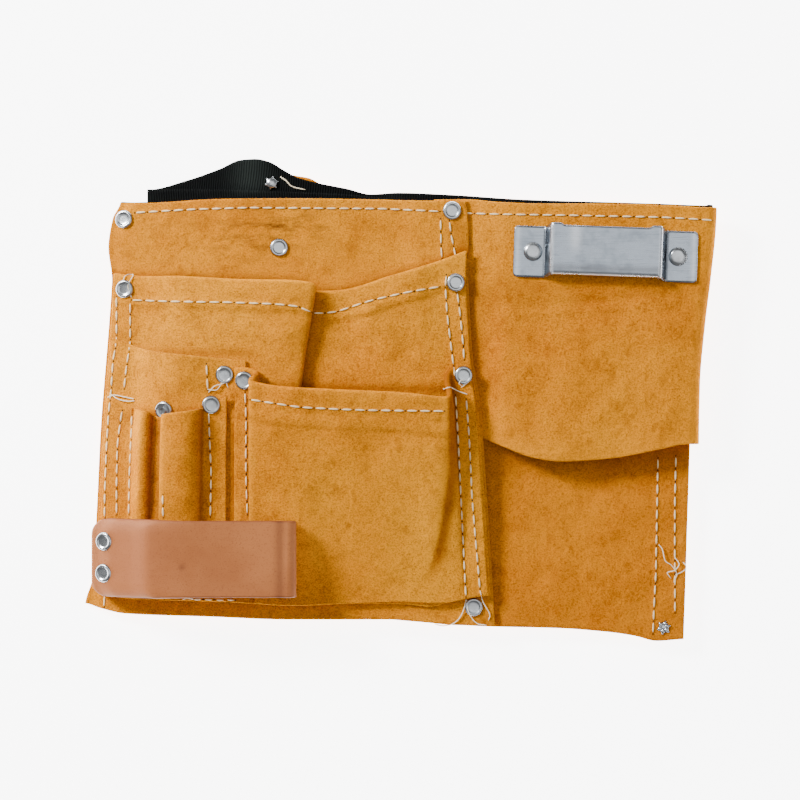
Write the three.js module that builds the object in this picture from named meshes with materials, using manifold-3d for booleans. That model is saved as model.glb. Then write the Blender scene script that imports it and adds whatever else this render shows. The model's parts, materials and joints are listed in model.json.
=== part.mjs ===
// Carpenter nail apron of split leather, folded in half at the right and lying face up.
// X runs along the waist, Y towards the waist edge and Z up from the surface it lies on.
// Lengths are in millimetres.
import * as THREE from 'three';
import { mergeVertices } from 'three/addons/utils/BufferGeometryUtils.js';
import Module from 'manifold-3d';

const wasm = await Module();
wasm.setup();

// Leather, webbing and the room between layers
const SUEDE = 1.5;
const STRAP_LEATHER = 2.6;
const WEBBING = 1.4;
const CLEARANCE = 0.5;
const PITCH = SUEDE + CLEARANCE;
const BELT_PITCH = WEBBING + CLEARANCE;
const BELT_DROP = (SUEDE + WEBBING) / 2 + CLEARANCE;

// The folded apron
const WAIST_Y = 105.5;
const FOLD_X = 168;

// Front pouch
const POUCH_WAIST_WIDTH = 184;
const POUCH_HEM_WIDTH = 218;
const POUCH_HEIGHT = 222;
const POUCH_FLARE = 15.5;
const UPPER_POCKET_DEPTH = 178;
const UPPER_POCKET_LIFT = 12;
const MIDDLE_POCKET_DEPTH = 143;
const MIDDLE_POCKET_WIDTH = 75;
const MIDDLE_POCKET_LIFT = 6;
const SLOT_PANEL_DEPTH = 111;
const SLOT_PANEL_INSET = 16.4;
const SLOT_TO_MAIN = 4;
const SLOT_LIFT = 8.5;
const MAIN_POCKET_DEPTH = 125;
const MAIN_POCKET_WIDTH = 127;
const MAIN_POCKET_LIFT = 14;
const EDGE_INSET = 2.4;

// Hammer loop
const LOOP_LENGTH = 109;
const LOOP_WIDTH = 40;
const LOOP_DROP = 169;
const LOOP_GAP = 4.6;

// Centre panel
const PANEL_FRONT_WIDTH = 133;
const PANEL_TUCK = 17;
const PANEL_WRAP = 18;
const PANEL_DEPTH = 138;
const PANEL_RADIUS = 5.5;

// Rear pouch, folded behind and face down
const REAR_WAIST_WIDTH = 235;
const REAR_HEM_WIDTH = 261;
const REAR_HEIGHT = 233.8;
const REAR_LEAN = 7.5;
const REAR_INSET = 9.5;
const REAR_MAIN_WIDTH = 150;

// Waist belt
const BELT_WIDTH = 37;
const BELT_TAIL = 42;
const BELT_FREE = 59;
const BELT_RETURN = 240;
const BELT_END = 18;
const BELT_RISE = 0.6;
const BELT_STEP = 11;
const BELT_MARGIN = 3.5;
const BELT_SLACK = 16;

// Belt clasp, hidden between the pouches
const CLASP_LENGTH = 46;
const CLASP_WIDTH = 44;
const CLASP_THICKNESS = 3;
const CLASP_BAR = 5;
const CLASP_SLOT = 7;

// Tape clip
const CLIP_LENGTH = 97;
const CLIP_WIDTH = 27;
const CLIP_BRIDGE = 58;
const CLIP_STEEL = 1;
const CLIP_RISE = 6;
const CLIP_STEP = 2.5;
const CLIP_LIP = 3;
const CLIP_CORNER = 2.2;
const CLIP_NOTCH = 45;
const CLIP_NOTCH_DEPTH = 1.2;
const CLIP_RIVET_REACH = 38.3;
const CLIP_TURN = -2;
const CLIP_X = 108.5;
const CLIP_DROP = 28.5;

// Rivets
const CAP_RADIUS = 5;
const CAP_HEIGHT = 1.1;
const SHANK_RADIUS = 1.6;
const SHANK_CLEARANCE = 0.25;
const CLINCH_RADIUS = 3.2;
const CLINCH_HEIGHT = 0.9;
const SEAT_GAP = 0.25;
const REAR_RIVET_INSET = 8.2;
const REAR_RIVET_DROP = 11;
const REAR_HEM_RIVET_INSET = 10.8;

const { lerp, smoothstep, degToRad } = THREE.MathUtils;

// A value read from a table whose rows have named columns, eased from row to row
function read(rows, key, column, at) {
  const last = rows.length - 1;
  if (at <= rows[0][key]) {
    return rows[0][column];
  }
  if (at >= rows[last][key]) {
    return rows[last][column];
  }
  const i = rows.findIndex((row, index) => index < last && at < rows[index + 1][key]);
  const slope = (a, b) => (rows[b][column] - rows[a][column]) / (rows[b][key] - rows[a][key]);
  const tangent = (index) => {
    if (index === 0 || index === last) {
      return 0;
    }
    const before = slope(index - 1, index);
    const after = slope(index, index + 1);
    return before * after <= 0 ? 0 : (2 * before * after) / (before + after);
  };
  const step = rows[i + 1][key] - rows[i][key];
  const t = (at - rows[i][key]) / step;
  const rise = 3 * t * t - 2 * t * t * t;
  const leave = t * (1 - t) * (1 - t) * step * tangent(i);
  const arrive = t * t * (t - 1) * step * tangent(i + 1);
  return lerp(rows[i][column], rows[i + 1][column], rise) + leave + arrive;
}

function evenly(count) {
  return Array.from({ length: count + 1 }, (_, i) => i / count);
}

// A closed sheet: a grid of middle points, thickened along the surface and walled round its rim
function sheet(along, down, middle, thickness) {
  const columns = along.length;
  const rows = down.length;
  const points = down.map((v) => along.map((u) => middle(u, v)));
  const normalAt = (i, j) => {
    const a = points[j][Math.min(i + 1, columns - 1)].clone().sub(points[j][Math.max(i - 1, 0)]);
    const b = points[Math.max(j - 1, 0)][i].clone().sub(points[Math.min(j + 1, rows - 1)][i]);
    return a.cross(b).normalize();
  };
  const position = [];
  for (const side of [0.5, -0.5]) {
    for (let j = 0; j < rows; j += 1) {
      for (let i = 0; i < columns; i += 1) {
        const p = points[j][i].clone().addScaledVector(normalAt(i, j), side * thickness);
        position.push(p.x, p.y, p.z);
      }
    }
  }
  const index = [];
  const layer = columns * rows;
  const quad = (a, b, c, d) => index.push(a, b, c, a, c, d);
  for (let j = 0; j < rows - 1; j += 1) {
    for (let i = 0; i < columns - 1; i += 1) {
      const a = j * columns + i;
      const b = a + columns;
      quad(a, b, b + 1, a + 1);
      quad(layer + a, layer + a + 1, layer + b + 1, layer + b);
    }
  }
  for (let i = 0; i < columns - 1; i += 1) {
    const low = (rows - 1) * columns + i;
    quad(i, i + 1, layer + i + 1, layer + i);
    quad(low + 1, low, layer + low, layer + low + 1);
  }
  for (let j = 0; j < rows - 1; j += 1) {
    const left = j * columns;
    const right = left + columns - 1;
    quad(left + columns, left, layer + left, layer + left + columns);
    quad(right, right + columns, layer + right + columns, layer + right);
  }
  const geometry = new THREE.BufferGeometry();
  geometry.setAttribute('position', new THREE.Float32BufferAttribute(position, 3));
  geometry.setIndex(index);
  return geometry;
}

function solid(geometry) {
  const bare = geometry.clone();
  bare.deleteAttribute('normal');
  bare.deleteAttribute('uv');
  const merged = mergeVertices(bare, 1e-4);
  const vertProperties = new Float32Array(merged.attributes.position.array);
  const triVerts = new Uint32Array(merged.index.array);
  return new wasm.Manifold(new wasm.Mesh({ numProp: 3, vertProperties, triVerts }));
}

function geometryOf(manifold) {
  const mesh = manifold.getMesh();
  const geometry = new THREE.BufferGeometry();
  geometry.setAttribute('position', new THREE.BufferAttribute(new Float32Array(mesh.vertProperties), 3));
  geometry.setIndex(new THREE.BufferAttribute(new Uint32Array(mesh.triVerts), 1));
  return geometry;
}

// Front pouch outline: how far its outer and inner edges stand off the straight line, going down
const POUCH_EDGES = [
  { down: 0, outer: 0, inner: 0 },
  { down: 0.04, outer: -0.018, inner: 0.002 },
  { down: 0.1, outer: -0.024, inner: 0 },
  { down: 0.2, outer: -0.004, inner: -0.01 },
  { down: 0.35, outer: -0.002, inner: -0.012 },
  { down: 0.5, outer: -0.002, inner: 0.002 },
  { down: 0.75, outer: 0.006, inner: 0.002 },
  { down: 0.93, outer: 0.012, inner: 0.001 },
  { down: 1, outer: -0.004, inner: 0 },
];

// Waist and hem edges of the pouch, as shares of its height, going across from the outer edge
const POUCH_ENDS = [
  { across: 0, waist: -0.002, hem: -0.035 },
  { across: 0.04, waist: -0.004, hem: -0.024 },
  { across: 0.1, waist: -0.003, hem: -0.012 },
  { across: 0.3, waist: 0.005, hem: -0.006 },
  { across: 0.5, waist: 0.006, hem: 0.001 },
  { across: 0.75, waist: 0.003, hem: 0.001 },
  { across: 0.9, waist: 0, hem: 0.014 },
  { across: 1, waist: 0, hem: 0.016 },
];

// Height of the pouch backing above the surface, in the belt zone and at the hem
const POUCH_LEVELS = [
  { across: 0, waist: 6.4, hem: 1.1 },
  { across: 0.04, waist: 8.8, hem: 3.4 },
  { across: 0.1, waist: 10.6, hem: 5.8 },
  { across: 0.22, waist: 13.8, hem: 9.2 },
  { across: 0.4, waist: 15.8, hem: 10 },
  { across: 0.8, waist: 15.8, hem: 10 },
  { across: 0.87, waist: 17.8, hem: 10.2 },
  { across: 1, waist: 17.8, hem: 10.2 },
];
const BELT_ZONE = 0.25;

const pouchInnerX = FOLD_X - PANEL_FRONT_WIDTH;

function pouchPlan(across, down) {
  const innerX = pouchInnerX + POUCH_FLARE * down;
  const width = lerp(POUCH_WAIST_WIDTH, POUCH_HEM_WIDTH, down);
  const outer = innerX - width + read(POUCH_EDGES, 'down', 'outer', down) * POUCH_WAIST_WIDTH;
  const inner = innerX + read(POUCH_EDGES, 'down', 'inner', down) * POUCH_WAIST_WIDTH;
  const waist = WAIST_Y + read(POUCH_ENDS, 'across', 'waist', across) * POUCH_HEIGHT;
  const hem = WAIST_Y - POUCH_HEIGHT - read(POUCH_ENDS, 'across', 'hem', across) * POUCH_HEIGHT;
  return new THREE.Vector2(lerp(outer, inner, across), lerp(waist, hem, down));
}

function pouchLevel(across, down) {
  const waist = read(POUCH_LEVELS, 'across', 'waist', across);
  const hem = read(POUCH_LEVELS, 'across', 'hem', across);
  return lerp(waist, hem, smoothstep(down, BELT_ZONE, 1));
}

function onPouch(across, down, height) {
  const plan = pouchPlan(across, down);
  return new THREE.Vector3(plan.x, plan.y, pouchLevel(across, down) + height);
}

// Shares of the pouch that lengths in millimetres come to
const meanPouchWidth = (POUCH_WAIST_WIDTH + POUCH_HEM_WIDTH) / 2;
const topShare = (depth) => 1 - depth / POUCH_HEIGHT;
const HEM_LINE = 0.962;
const UPPER_NOTCH = 0.034;
const REAR_HEM_LINE = 0.935;

// Upper pocket: dips of its top edge and its stand-off from the backing, from the outer edge inwards
const UPPER_FORM = [
  { across: 0, dip: -0.024, lift: 0 },
  { across: 0.07, dip: -0.021, lift: 0.02 },
  { across: 0.18, dip: -0.017, lift: 0.4 },
  { across: 0.34, dip: -0.006, lift: 0.72 },
  { across: 0.45, dip: -0.004, lift: 0.96 },
  { across: 0.51, dip: -0.003, lift: 1 },
  { across: 0.555, dip: 0.008, lift: 0.86 },
  { across: 0.585, dip: 0.02, lift: 0.3 },
  { across: 0.62, dip: 0.02, lift: 0.24 },
  { across: 0.7, dip: 0.007, lift: 0.38 },
  { across: 0.8, dip: -0.022, lift: 0.36 },
  { across: 0.92, dip: -0.056, lift: 0.04 },
  { across: 1, dip: -0.082, lift: 0 },
];
const UPPER_FADE = [
  { down: 0, lift: 1 },
  { down: 0.3, lift: 0.72 },
  { down: 0.6, lift: 0.42 },
  { down: 0.85, lift: 0.12 },
  { down: 1, lift: 0 },
];
const upperTop = topShare(UPPER_POCKET_DEPTH);

function upperHeight(across, down) {
  const fade = read(UPPER_FADE, 'down', 'lift', (down - upperTop) / (HEM_LINE - upperTop));
  return PITCH + read(UPPER_FORM, 'across', 'lift', across) * fade * UPPER_POCKET_LIFT;
}

// Middle pocket, cut along its top edge
const MIDDLE_FORM = [
  { across: 0, dip: -0.02, lift: 0 },
  { across: 0.12, dip: -0.012, lift: 0.02 },
  { across: 0.3, dip: 0.004, lift: 0.75 },
  { across: 0.5, dip: 0.014, lift: 1 },
  { across: 0.7, dip: 0.022, lift: 0.5 },
  { across: 0.86, dip: 0.026, lift: 0.02 },
  { across: 1, dip: 0.03, lift: 0 },
];
const POCKET_FADE = [
  { down: 0, lift: 1 },
  { down: 0.35, lift: 0.8 },
  { down: 0.65, lift: 0.45 },
  { down: 0.9, lift: 0.08 },
  { down: 1, lift: 0 },
];
const middleTop = topShare(MIDDLE_POCKET_DEPTH);
const middleWidth = MIDDLE_POCKET_WIDTH / meanPouchWidth;
const edgeInset = EDGE_INSET / POUCH_WAIST_WIDTH;

function middleHeight(across, down) {
  const share = (across - edgeInset) / middleWidth;
  const fade = read(POCKET_FADE, 'down', 'lift', (down - middleTop) / (HEM_LINE - middleTop));
  const lift = read(MIDDLE_FORM, 'across', 'lift', share) * fade * MIDDLE_POCKET_LIFT;
  return upperHeight(across, down) + PITCH + (share > 1 ? 0 : lift);
}

// Tool slots: a narrow one, a sewn valley, and a wide one whose left side folds back over the valley
const SLOT_FORM = [
  { along: 0, across: 0, dip: 0, lift: 0 },
  { along: 0.05, across: 0.035, dip: 0, lift: 0 },
  { along: 0.11, across: 0.075, dip: 0.002, lift: 0.6 },
  { along: 0.18, across: 0.135, dip: 0.004, lift: 0.95 },
  { along: 0.25, across: 0.2, dip: 0.01, lift: 0.6 },
  { along: 0.3, across: 0.24, dip: 0.018, lift: 0 },
  { along: 0.36, across: 0.34, dip: 0.02, lift: 0 },
  { along: 0.42, across: 0.44, dip: 0.02, lift: 0 },
  { along: 0.46, across: 0.43, dip: 0.018, lift: 0.35 },
  { along: 0.5, across: 0.345, dip: 0.016, lift: 0.7 },
  { along: 0.54, across: 0.34, dip: 0.014, lift: 0.96 },
  { along: 0.62, across: 0.45, dip: 0.01, lift: 1.06 },
  { along: 0.72, across: 0.6, dip: 0.006, lift: 1.04 },
  { along: 0.79, across: 0.7, dip: 0.003, lift: 0.75 },
  { along: 0.84, across: 0.75, dip: 0, lift: 0 },
  { along: 0.92, across: 0.88, dip: -0.014, lift: 0 },
  { along: 1, across: 1, dip: -0.03, lift: 0.03 },
];
const SLOT_FADE = [
  { down: 0, lift: 1 },
  { down: 0.45, lift: 0.85 },
  { down: 0.65, lift: 0.35 },
  { down: 0.8, lift: 0.12 },
  { down: 1, lift: 0 },
];
const slotTop = topShare(SLOT_PANEL_DEPTH);
const mainWidth = MAIN_POCKET_WIDTH / meanPouchWidth;
const slotStart = SLOT_PANEL_INSET / meanPouchWidth;
const slotWidth = mainPlace(0) - SLOT_TO_MAIN / meanPouchWidth - slotStart;

// The main pocket ends at the pouch's inner edge, and the slot panel stops short of its outer edge
function mainPlace(share) {
  return 1 - edgeInset - mainWidth * (1 - share);
}

function slotSeat(across, down) {
  return middleHeight(across, down) + PITCH;
}

function slotPlace(share) {
  return slotStart + slotWidth * share;
}

function slotPoint(along, depth) {
  const across = slotPlace(read(SLOT_FORM, 'along', 'across', along));
  const down = lerp(slotTop + read(SLOT_FORM, 'along', 'dip', along), HEM_LINE, depth);
  const fade = read(SLOT_FADE, 'down', 'lift', depth);
  const lift = read(SLOT_FORM, 'along', 'lift', along) * fade * SLOT_LIFT;
  return onPouch(across, down, slotSeat(across, down) + lift);
}

// Main pocket: flange, side fold, crowned front, side fold and flange. A row with rests at 1
// follows the layer below, and one with rests at 0 spans from side to side.
const MAIN_FORM = [
  { along: 0, across: 0, dip: -0.035, lift: 0, rests: 1 },
  { along: 0.05, across: 0.05, dip: -0.035, lift: 0, rests: 1 },
  { along: 0.09, across: 0.09, dip: -0.03, lift: 0, rests: 1 },
  { along: 0.12, across: 0.084, dip: -0.02, lift: 0.28, rests: 1 },
  { along: 0.155, across: 0.058, dip: -0.01, lift: 0.46, rests: 0.7 },
  { along: 0.19, across: 0.085, dip: -0.002, lift: 0.58, rests: 0.4 },
  { along: 0.3, across: 0.24, dip: 0.01, lift: 0.82, rests: 0 },
  { along: 0.5, across: 0.5, dip: 0.016, lift: 0.95, rests: 0 },
  { along: 0.7, across: 0.76, dip: 0.02, lift: 0.92, rests: 0 },
  { along: 0.82, across: 0.885, dip: 0.024, lift: 0.8, rests: 0 },
  { along: 0.87, across: 0.903, dip: 0.006, lift: 0.55, rests: 0.3 },
  { along: 0.91, across: 0.9, dip: -0.02, lift: 0.2, rests: 0.8 },
  { along: 0.94, across: 0.925, dip: -0.05, lift: 0, rests: 1 },
  { along: 1, across: 1, dip: -0.04, lift: 0, rests: 1 },
];
const MAIN_FADE = [
  { down: 0, lift: 1 },
  { down: 0.3, lift: 0.88 },
  { down: 0.6, lift: 0.55 },
  { down: 0.85, lift: 0.15 },
  { down: 1, lift: 0 },
];
const MAIN_HEM = [
  { across: 0, dip: 0 },
  { across: 0.25, dip: 0.004 },
  { across: 0.5, dip: -0.003 },
  { across: 0.8, dip: -0.012 },
  { across: 1, dip: -0.034 },
];
const mainTop = topShare(MAIN_POCKET_DEPTH);

// Where the main pocket's flanges lie: the outer one on the middle pocket, the inner one on the upper
function mainSeat(across, down) {
  const onMiddle = 1 - smoothstep(across, middleWidth + 0.02, middleWidth + 0.06);
  return lerp(upperHeight(across, down), middleHeight(across, down), onMiddle) + PITCH;
}

function mainPoint(along, depth) {
  const share = read(MAIN_FORM, 'along', 'across', along);
  const top = mainTop + read(MAIN_FORM, 'along', 'dip', along);
  const low = HEM_LINE + read(MAIN_HEM, 'across', 'dip', share);
  const down = lerp(top, low, depth);
  const across = mainPlace(share);
  const rests = read(MAIN_FORM, 'along', 'rests', along);
  const span = lerp(mainSeat(mainPlace(0.04), down), mainSeat(mainPlace(0.96), down), share);
  const fade = read(MAIN_FADE, 'down', 'lift', depth);
  const settled = lerp(span, mainSeat(across, down), Math.max(rests, 1 - fade));
  const lift = read(MAIN_FORM, 'along', 'lift', along) * MAIN_POCKET_LIFT * fade;
  return onPouch(across, down, settled + lift);
}

// The strap of the hammer loop lies on whatever is highest under it
const LOOP_STATIONS = 10;
const LOOP_RIVET_INSET = 7.5;
const loopMiddleShare = (LOOP_DROP + LOOP_WIDTH / 2) / POUCH_HEIGHT;
const loopStartX = pouchPlan(0, loopMiddleShare).x - 0.5;
const loopFoldRadius = (LOOP_GAP + STRAP_LEATHER) / 2;

function pocketPoints() {
  const points = [];
  for (const share of evenly(40)) {
    for (const depth of evenly(30)) {
      const middle = lerp(edgeInset, edgeInset + middleWidth, share);
      const down = lerp(middleTop, HEM_LINE, depth);
      points.push(onPouch(middle, down, middleHeight(middle, down)));
      points.push(slotPoint(share, depth));
      points.push(mainPoint(share, depth));
    }
  }
  return points;
}

const pocketSurface = pocketPoints();
const loopTopY = WAIST_Y - LOOP_DROP;
const loopLevels = evenly(LOOP_STATIONS).map((share) => {
  const spacing = LOOP_LENGTH / LOOP_STATIONS;
  const x = loopStartX + share * LOOP_LENGTH;
  const under = pocketSurface.filter((p) => (
    Math.abs(p.x - x) < spacing && p.y < loopTopY + 2 && p.y > loopTopY - LOOP_WIDTH - 2
  ));
  const highest = under.reduce((top, p) => Math.max(top, p.z), 0);
  return { share, z: highest + SUEDE / 2 + CLEARANCE + STRAP_LEATHER / 2 };
});

// Past its rivets the strap is taut, so it spans straight between the highest places
const firstFree = Math.ceil((LOOP_STATIONS * (LOOP_RIVET_INSET + CAP_RADIUS)) / LOOP_LENGTH);
for (let from = firstFree; from < LOOP_STATIONS; from += 1) {
  for (let to = from + 2; to <= LOOP_STATIONS; to += 1) {
    for (let i = from + 1; i < to; i += 1) {
      const straight = lerp(loopLevels[from].z, loopLevels[to].z, (i - from) / (to - from));
      loopLevels[i].z = Math.max(loopLevels[i].z, straight);
    }
  }
}

function loopPoint(along, w) {
  const round = 0.19;
  const edge = Math.max(Math.abs(w - 0.5) - (0.5 - round), 0) / round;
  const start = loopStartX + round * LOOP_WIDTH * (1 - Math.sqrt(Math.max(1 - edge * edge, 0)));
  const straight = LOOP_LENGTH - loopFoldRadius - STRAP_LEATHER / 2;
  const turnX = loopStartX + straight;
  const y = loopTopY - w * LOOP_WIDTH;
  const arc = Math.PI * loopFoldRadius;
  const total = 2 * straight + arc;
  const run = along * total;
  const share = Math.min(run, total - run) / straight;
  const lower = read(loopLevels, 'share', 'z', share * (straight / LOOP_LENGTH));
  const open = lerp(STRAP_LEATHER + CLEARANCE, 2 * loopFoldRadius, smoothstep(share, 0.12, 0.5));
  if (run < straight) {
    return new THREE.Vector3(lerp(start, turnX, run / straight), y, lower);
  }
  if (run <= straight + arc) {
    const angle = (run - straight) / loopFoldRadius;
    const level = read(loopLevels, 'share', 'z', straight / LOOP_LENGTH);
    const x = turnX + loopFoldRadius * Math.sin(angle);
    return new THREE.Vector3(x, y, level + loopFoldRadius * (1 - Math.cos(angle)));
  }
  return new THREE.Vector3(lerp(start, turnX, share), y, lower + open);
}

// Levels of the layers behind, from the surface the apron lies on upwards
const rearMainLevel = SUEDE / 2;
const rearFlangeLevel = SUEDE + CAP_HEIGHT + SEAT_GAP;
const rearUpperLevel = rearFlangeLevel + PITCH;
const rearLevel = rearUpperLevel + PITCH;
const panelRearLevel = rearLevel + PITCH;
const panelFoldLevel = panelRearLevel + 2 * PANEL_RADIUS;

// Centre panel: how fast it climbs from behind the pouch to the level of its fold
const PANEL_CLIMB = [
  { across: 0, waist: 0, low: 0 },
  { across: 0.13, waist: 0, low: 0 },
  { across: 0.2, waist: 0.5, low: 0.02 },
  { across: 0.28, waist: 1, low: 0.85 },
  { across: 0.36, waist: 1, low: 1 },
  { across: 1, waist: 1, low: 1 },
];
const PANEL_ENDS = [
  { across: 0, waist: 0.005, hem: 0.155 },
  { across: 0.12, waist: 0.006, hem: 0.12 },
  { across: 0.24, waist: -0.006, hem: 0.07 },
  { across: 0.4, waist: -0.012, hem: 0.012 },
  { across: 0.5, waist: -0.012, hem: 0 },
  { across: 0.7, waist: -0.013, hem: 0.012 },
  { across: 0.88, waist: -0.02, hem: 0.045 },
  { across: 1, waist: -0.026, hem: 0.066 },
];
const PANEL_FOLD_LINE = [
  { down: 0, back: 0 },
  { down: 0.08, back: 0.003 },
  { down: 0.3, back: 0.024 },
  { down: 0.5, back: 0.047 },
  { down: 0.75, back: 0.067 },
  { down: 1, back: 0.071 },
];
const panelTurnX = FOLD_X - PANEL_RADIUS - SUEDE / 2;
const panelStartX = pouchInnerX - PANEL_TUCK;
const panelFlat = panelTurnX - panelStartX;
const panelArc = Math.PI * PANEL_RADIUS;
const panelLength = panelFlat + panelArc + PANEL_WRAP;

function panelPlanY(across, down) {
  const waist = WAIST_Y + read(PANEL_ENDS, 'across', 'waist', across) * PANEL_DEPTH;
  const hem = WAIST_Y - PANEL_DEPTH * (1 - read(PANEL_ENDS, 'across', 'hem', across));
  return lerp(waist, hem, down);
}

function panelFrontLevel(across, down) {
  const behind = pouchLevel(1, (WAIST_Y - panelPlanY(across, down)) / POUCH_HEIGHT) - PITCH;
  const waist = read(PANEL_CLIMB, 'across', 'waist', across);
  const low = read(PANEL_CLIMB, 'across', 'low', across);
  return lerp(behind, panelFoldLevel, lerp(waist, low, smoothstep(down, 0.27, 0.6)));
}

function panelPoint(share, down) {
  const run = share * panelLength;
  const turnX = panelTurnX - read(PANEL_FOLD_LINE, 'down', 'back', down) * PANEL_FRONT_WIDTH;
  if (run <= panelFlat) {
    const across = run / panelFlat;
    const x = lerp(panelStartX, turnX, across);
    return new THREE.Vector3(x, panelPlanY(across, down), panelFrontLevel(across, down));
  }
  const turned = Math.min(run - panelFlat, panelArc);
  const rest = run - panelFlat - turned;
  const angle = turned / PANEL_RADIUS;
  const x = turnX + PANEL_RADIUS * Math.sin(angle) - rest;
  const z = panelFoldLevel - PANEL_RADIUS * (1 - Math.cos(angle));
  return new THREE.Vector3(x, panelPlanY(1, down) + 0.1 * rest * down, z);
}

// The belt's upper edge over the rear pouch and its free stretch, with the hump that it makes.
// x is a share of the fold's distance from the middle, rise one of the belt's width.
const BELT_WAIST = [
  { x: -0.8, rise: 0.186 },
  { x: -0.675, rise: 0.314 },
  { x: -0.571, rise: 0.473 },
  { x: -0.505, rise: 0.6 },
  { x: -0.457, rise: 0.616 },
  { x: -0.413, rise: 0.573 },
  { x: -0.369, rise: 0.457 },
  { x: -0.322, rise: 0.343 },
  { x: -0.255, rise: 0.265 },
  { x: -0.167, rise: 0.186 },
  { x: -0.092, rise: 0.106 },
  { x: -0.006, rise: 0.128 },
  { x: 0.155, rise: 0.1 },
  { x: 0.394, rise: 0.03 },
  { x: 0.757, rise: -0.02 },
  { x: 1, rise: -0.06 },
];
const BELT_COMEBACK = [
  { x: -0.8, rise: 0.186 },
  { x: -0.22, rise: 0.114 },
  { x: 0.1, rise: -0.03 },
  { x: 0.6, rise: -0.25 },
];
// How far the rear pouch's waist edge stands above the belt's, as a share of the belt's width
const REAR_EDGE = [
  { x: -0.457, rise: -0.2 },
  { x: -0.37, rise: -0.06 },
  { x: -0.33, rise: 0.02 },
  { x: -0.29, rise: 0.045 },
  { x: -0.24, rise: -0.02 },
  { x: -0.1, rise: -0.05 },
  { x: 1, rise: -0.04 },
];

function edgeHeight(rows, x) {
  return WAIST_Y + read(rows, 'x', 'rise', x / FOLD_X) * BELT_WIDTH;
}

const REAR_HEM = [
  { across: 0, rise: 0.097 },
  { across: 0.3, rise: 0.06 },
  { across: 0.6, rise: 0.033 },
  { across: 0.734, rise: 0.0295 },
  { across: 0.845, rise: 0.0205 },
  { across: 0.9, rise: 0.0115 },
  { across: 0.945, rise: 0 },
  { across: 1, rise: 0.004 },
];
const rearInnerX = FOLD_X - REAR_INSET;

function rearPlan(across, down) {
  const innerX = rearInnerX - REAR_LEAN * down;
  const x = innerX - (1 - across) * lerp(REAR_WAIST_WIDTH, REAR_HEM_WIDTH, down);
  const waistX = rearInnerX - (1 - across) * REAR_WAIST_WIDTH;
  const waist = edgeHeight(BELT_WAIST, waistX) + read(REAR_EDGE, 'x', 'rise', waistX / FOLD_X) * BELT_WIDTH;
  const hem = WAIST_Y - REAR_HEIGHT * (1 - read(REAR_HEM, 'across', 'rise', across));
  return new THREE.Vector2(x, lerp(waist, hem, down));
}

function onRear(across, down, z) {
  const plan = rearPlan(across, down);
  return new THREE.Vector3(plan.x, plan.y, z);
}

const REAR_MAIN_FORM = [
  { along: 0, across: 0, drop: 0 },
  { along: 0.08, across: 0.08, drop: 0 },
  { along: 0.18, across: 0.16, drop: 1 },
  { along: 0.8, across: 0.82, drop: 1 },
  { along: 0.9, across: 0.9, drop: 0 },
  { along: 1, across: 1, drop: 0 },
];
const rearUpperTop = 1 - UPPER_POCKET_DEPTH / REAR_HEIGHT;
const rearMainTop = 1 - MAIN_POCKET_DEPTH / REAR_HEIGHT;
const rearMainStart = 1 - edgeInset - REAR_MAIN_WIDTH / REAR_HEM_WIDTH;

function rearMainPoint(along, depth) {
  const share = read(REAR_MAIN_FORM, 'along', 'across', along);
  const down = lerp(rearMainTop, REAR_HEM_LINE - 0.01, depth);
  const sewn = Math.max(0, (depth - 0.86) / 0.14);
  const drop = read(REAR_MAIN_FORM, 'along', 'drop', along) * (1 - smoothstep(sewn, 0, 1));
  const z = lerp(rearFlangeLevel, rearMainLevel, drop);
  return onRear(lerp(rearMainStart, 1 - edgeInset, share), down, z);
}

// The belt's route: folded tail, front run, half turn, rear run, fold, return to the clasp's bar
const beltTop = panelFoldLevel - BELT_DROP;
const beltLow = panelRearLevel + BELT_DROP;
const beltRadius = (beltTop - beltLow) / 2;
const beltFold = BELT_PITCH / 2 + 0.1;
const beltCornerX = pouchPlan(0, 0).x + 1.5;
const rearOuterX = rearInnerX - REAR_WAIST_WIDTH;
const beltFreeX = rearOuterX - BELT_FREE;
const beltEndX = beltFreeX + BELT_RETURN;
const beltStepX = panelTurnX - PANEL_WRAP - BELT_MARGIN - BELT_STEP;

function beltFrontLevel(x) {
  if (x > panelStartX) {
    return panelFrontLevel((x - panelStartX) / panelFlat, 0.1) - BELT_DROP;
  }
  const levels = [0, 0.04, 0.08, 0.12, 0.17].map((down) => {
    const outer = pouchPlan(0, down).x;
    const inner = pouchPlan(1, down).x;
    return pouchLevel((x - outer) / (inner - outer), down);
  });
  return Math.min(...levels, pouchLevel(1, 0) - PITCH) - BELT_DROP;
}

function beltRearLevel(x) {
  const overPanel = smoothstep(x, beltStepX, beltStepX + BELT_STEP);
  const level = lerp(rearLevel, panelRearLevel, overPanel) + BELT_DROP;
  const risen = smoothstep(x, beltFreeX - BELT_SLACK, rearOuterX - BELT_MARGIN);
  return lerp(WEBBING / 2 + CLEARANCE, level, risen);
}

function frontEdge(x) {
  if (x > pouchInnerX) {
    return panelPlanY(Math.min((x - panelStartX) / panelFlat, 1), 0) + BELT_RISE;
  }
  const outer = pouchPlan(0, 0).x;
  return pouchPlan((x - outer) / (pouchInnerX - outer), 0).y + BELT_RISE;
}

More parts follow.
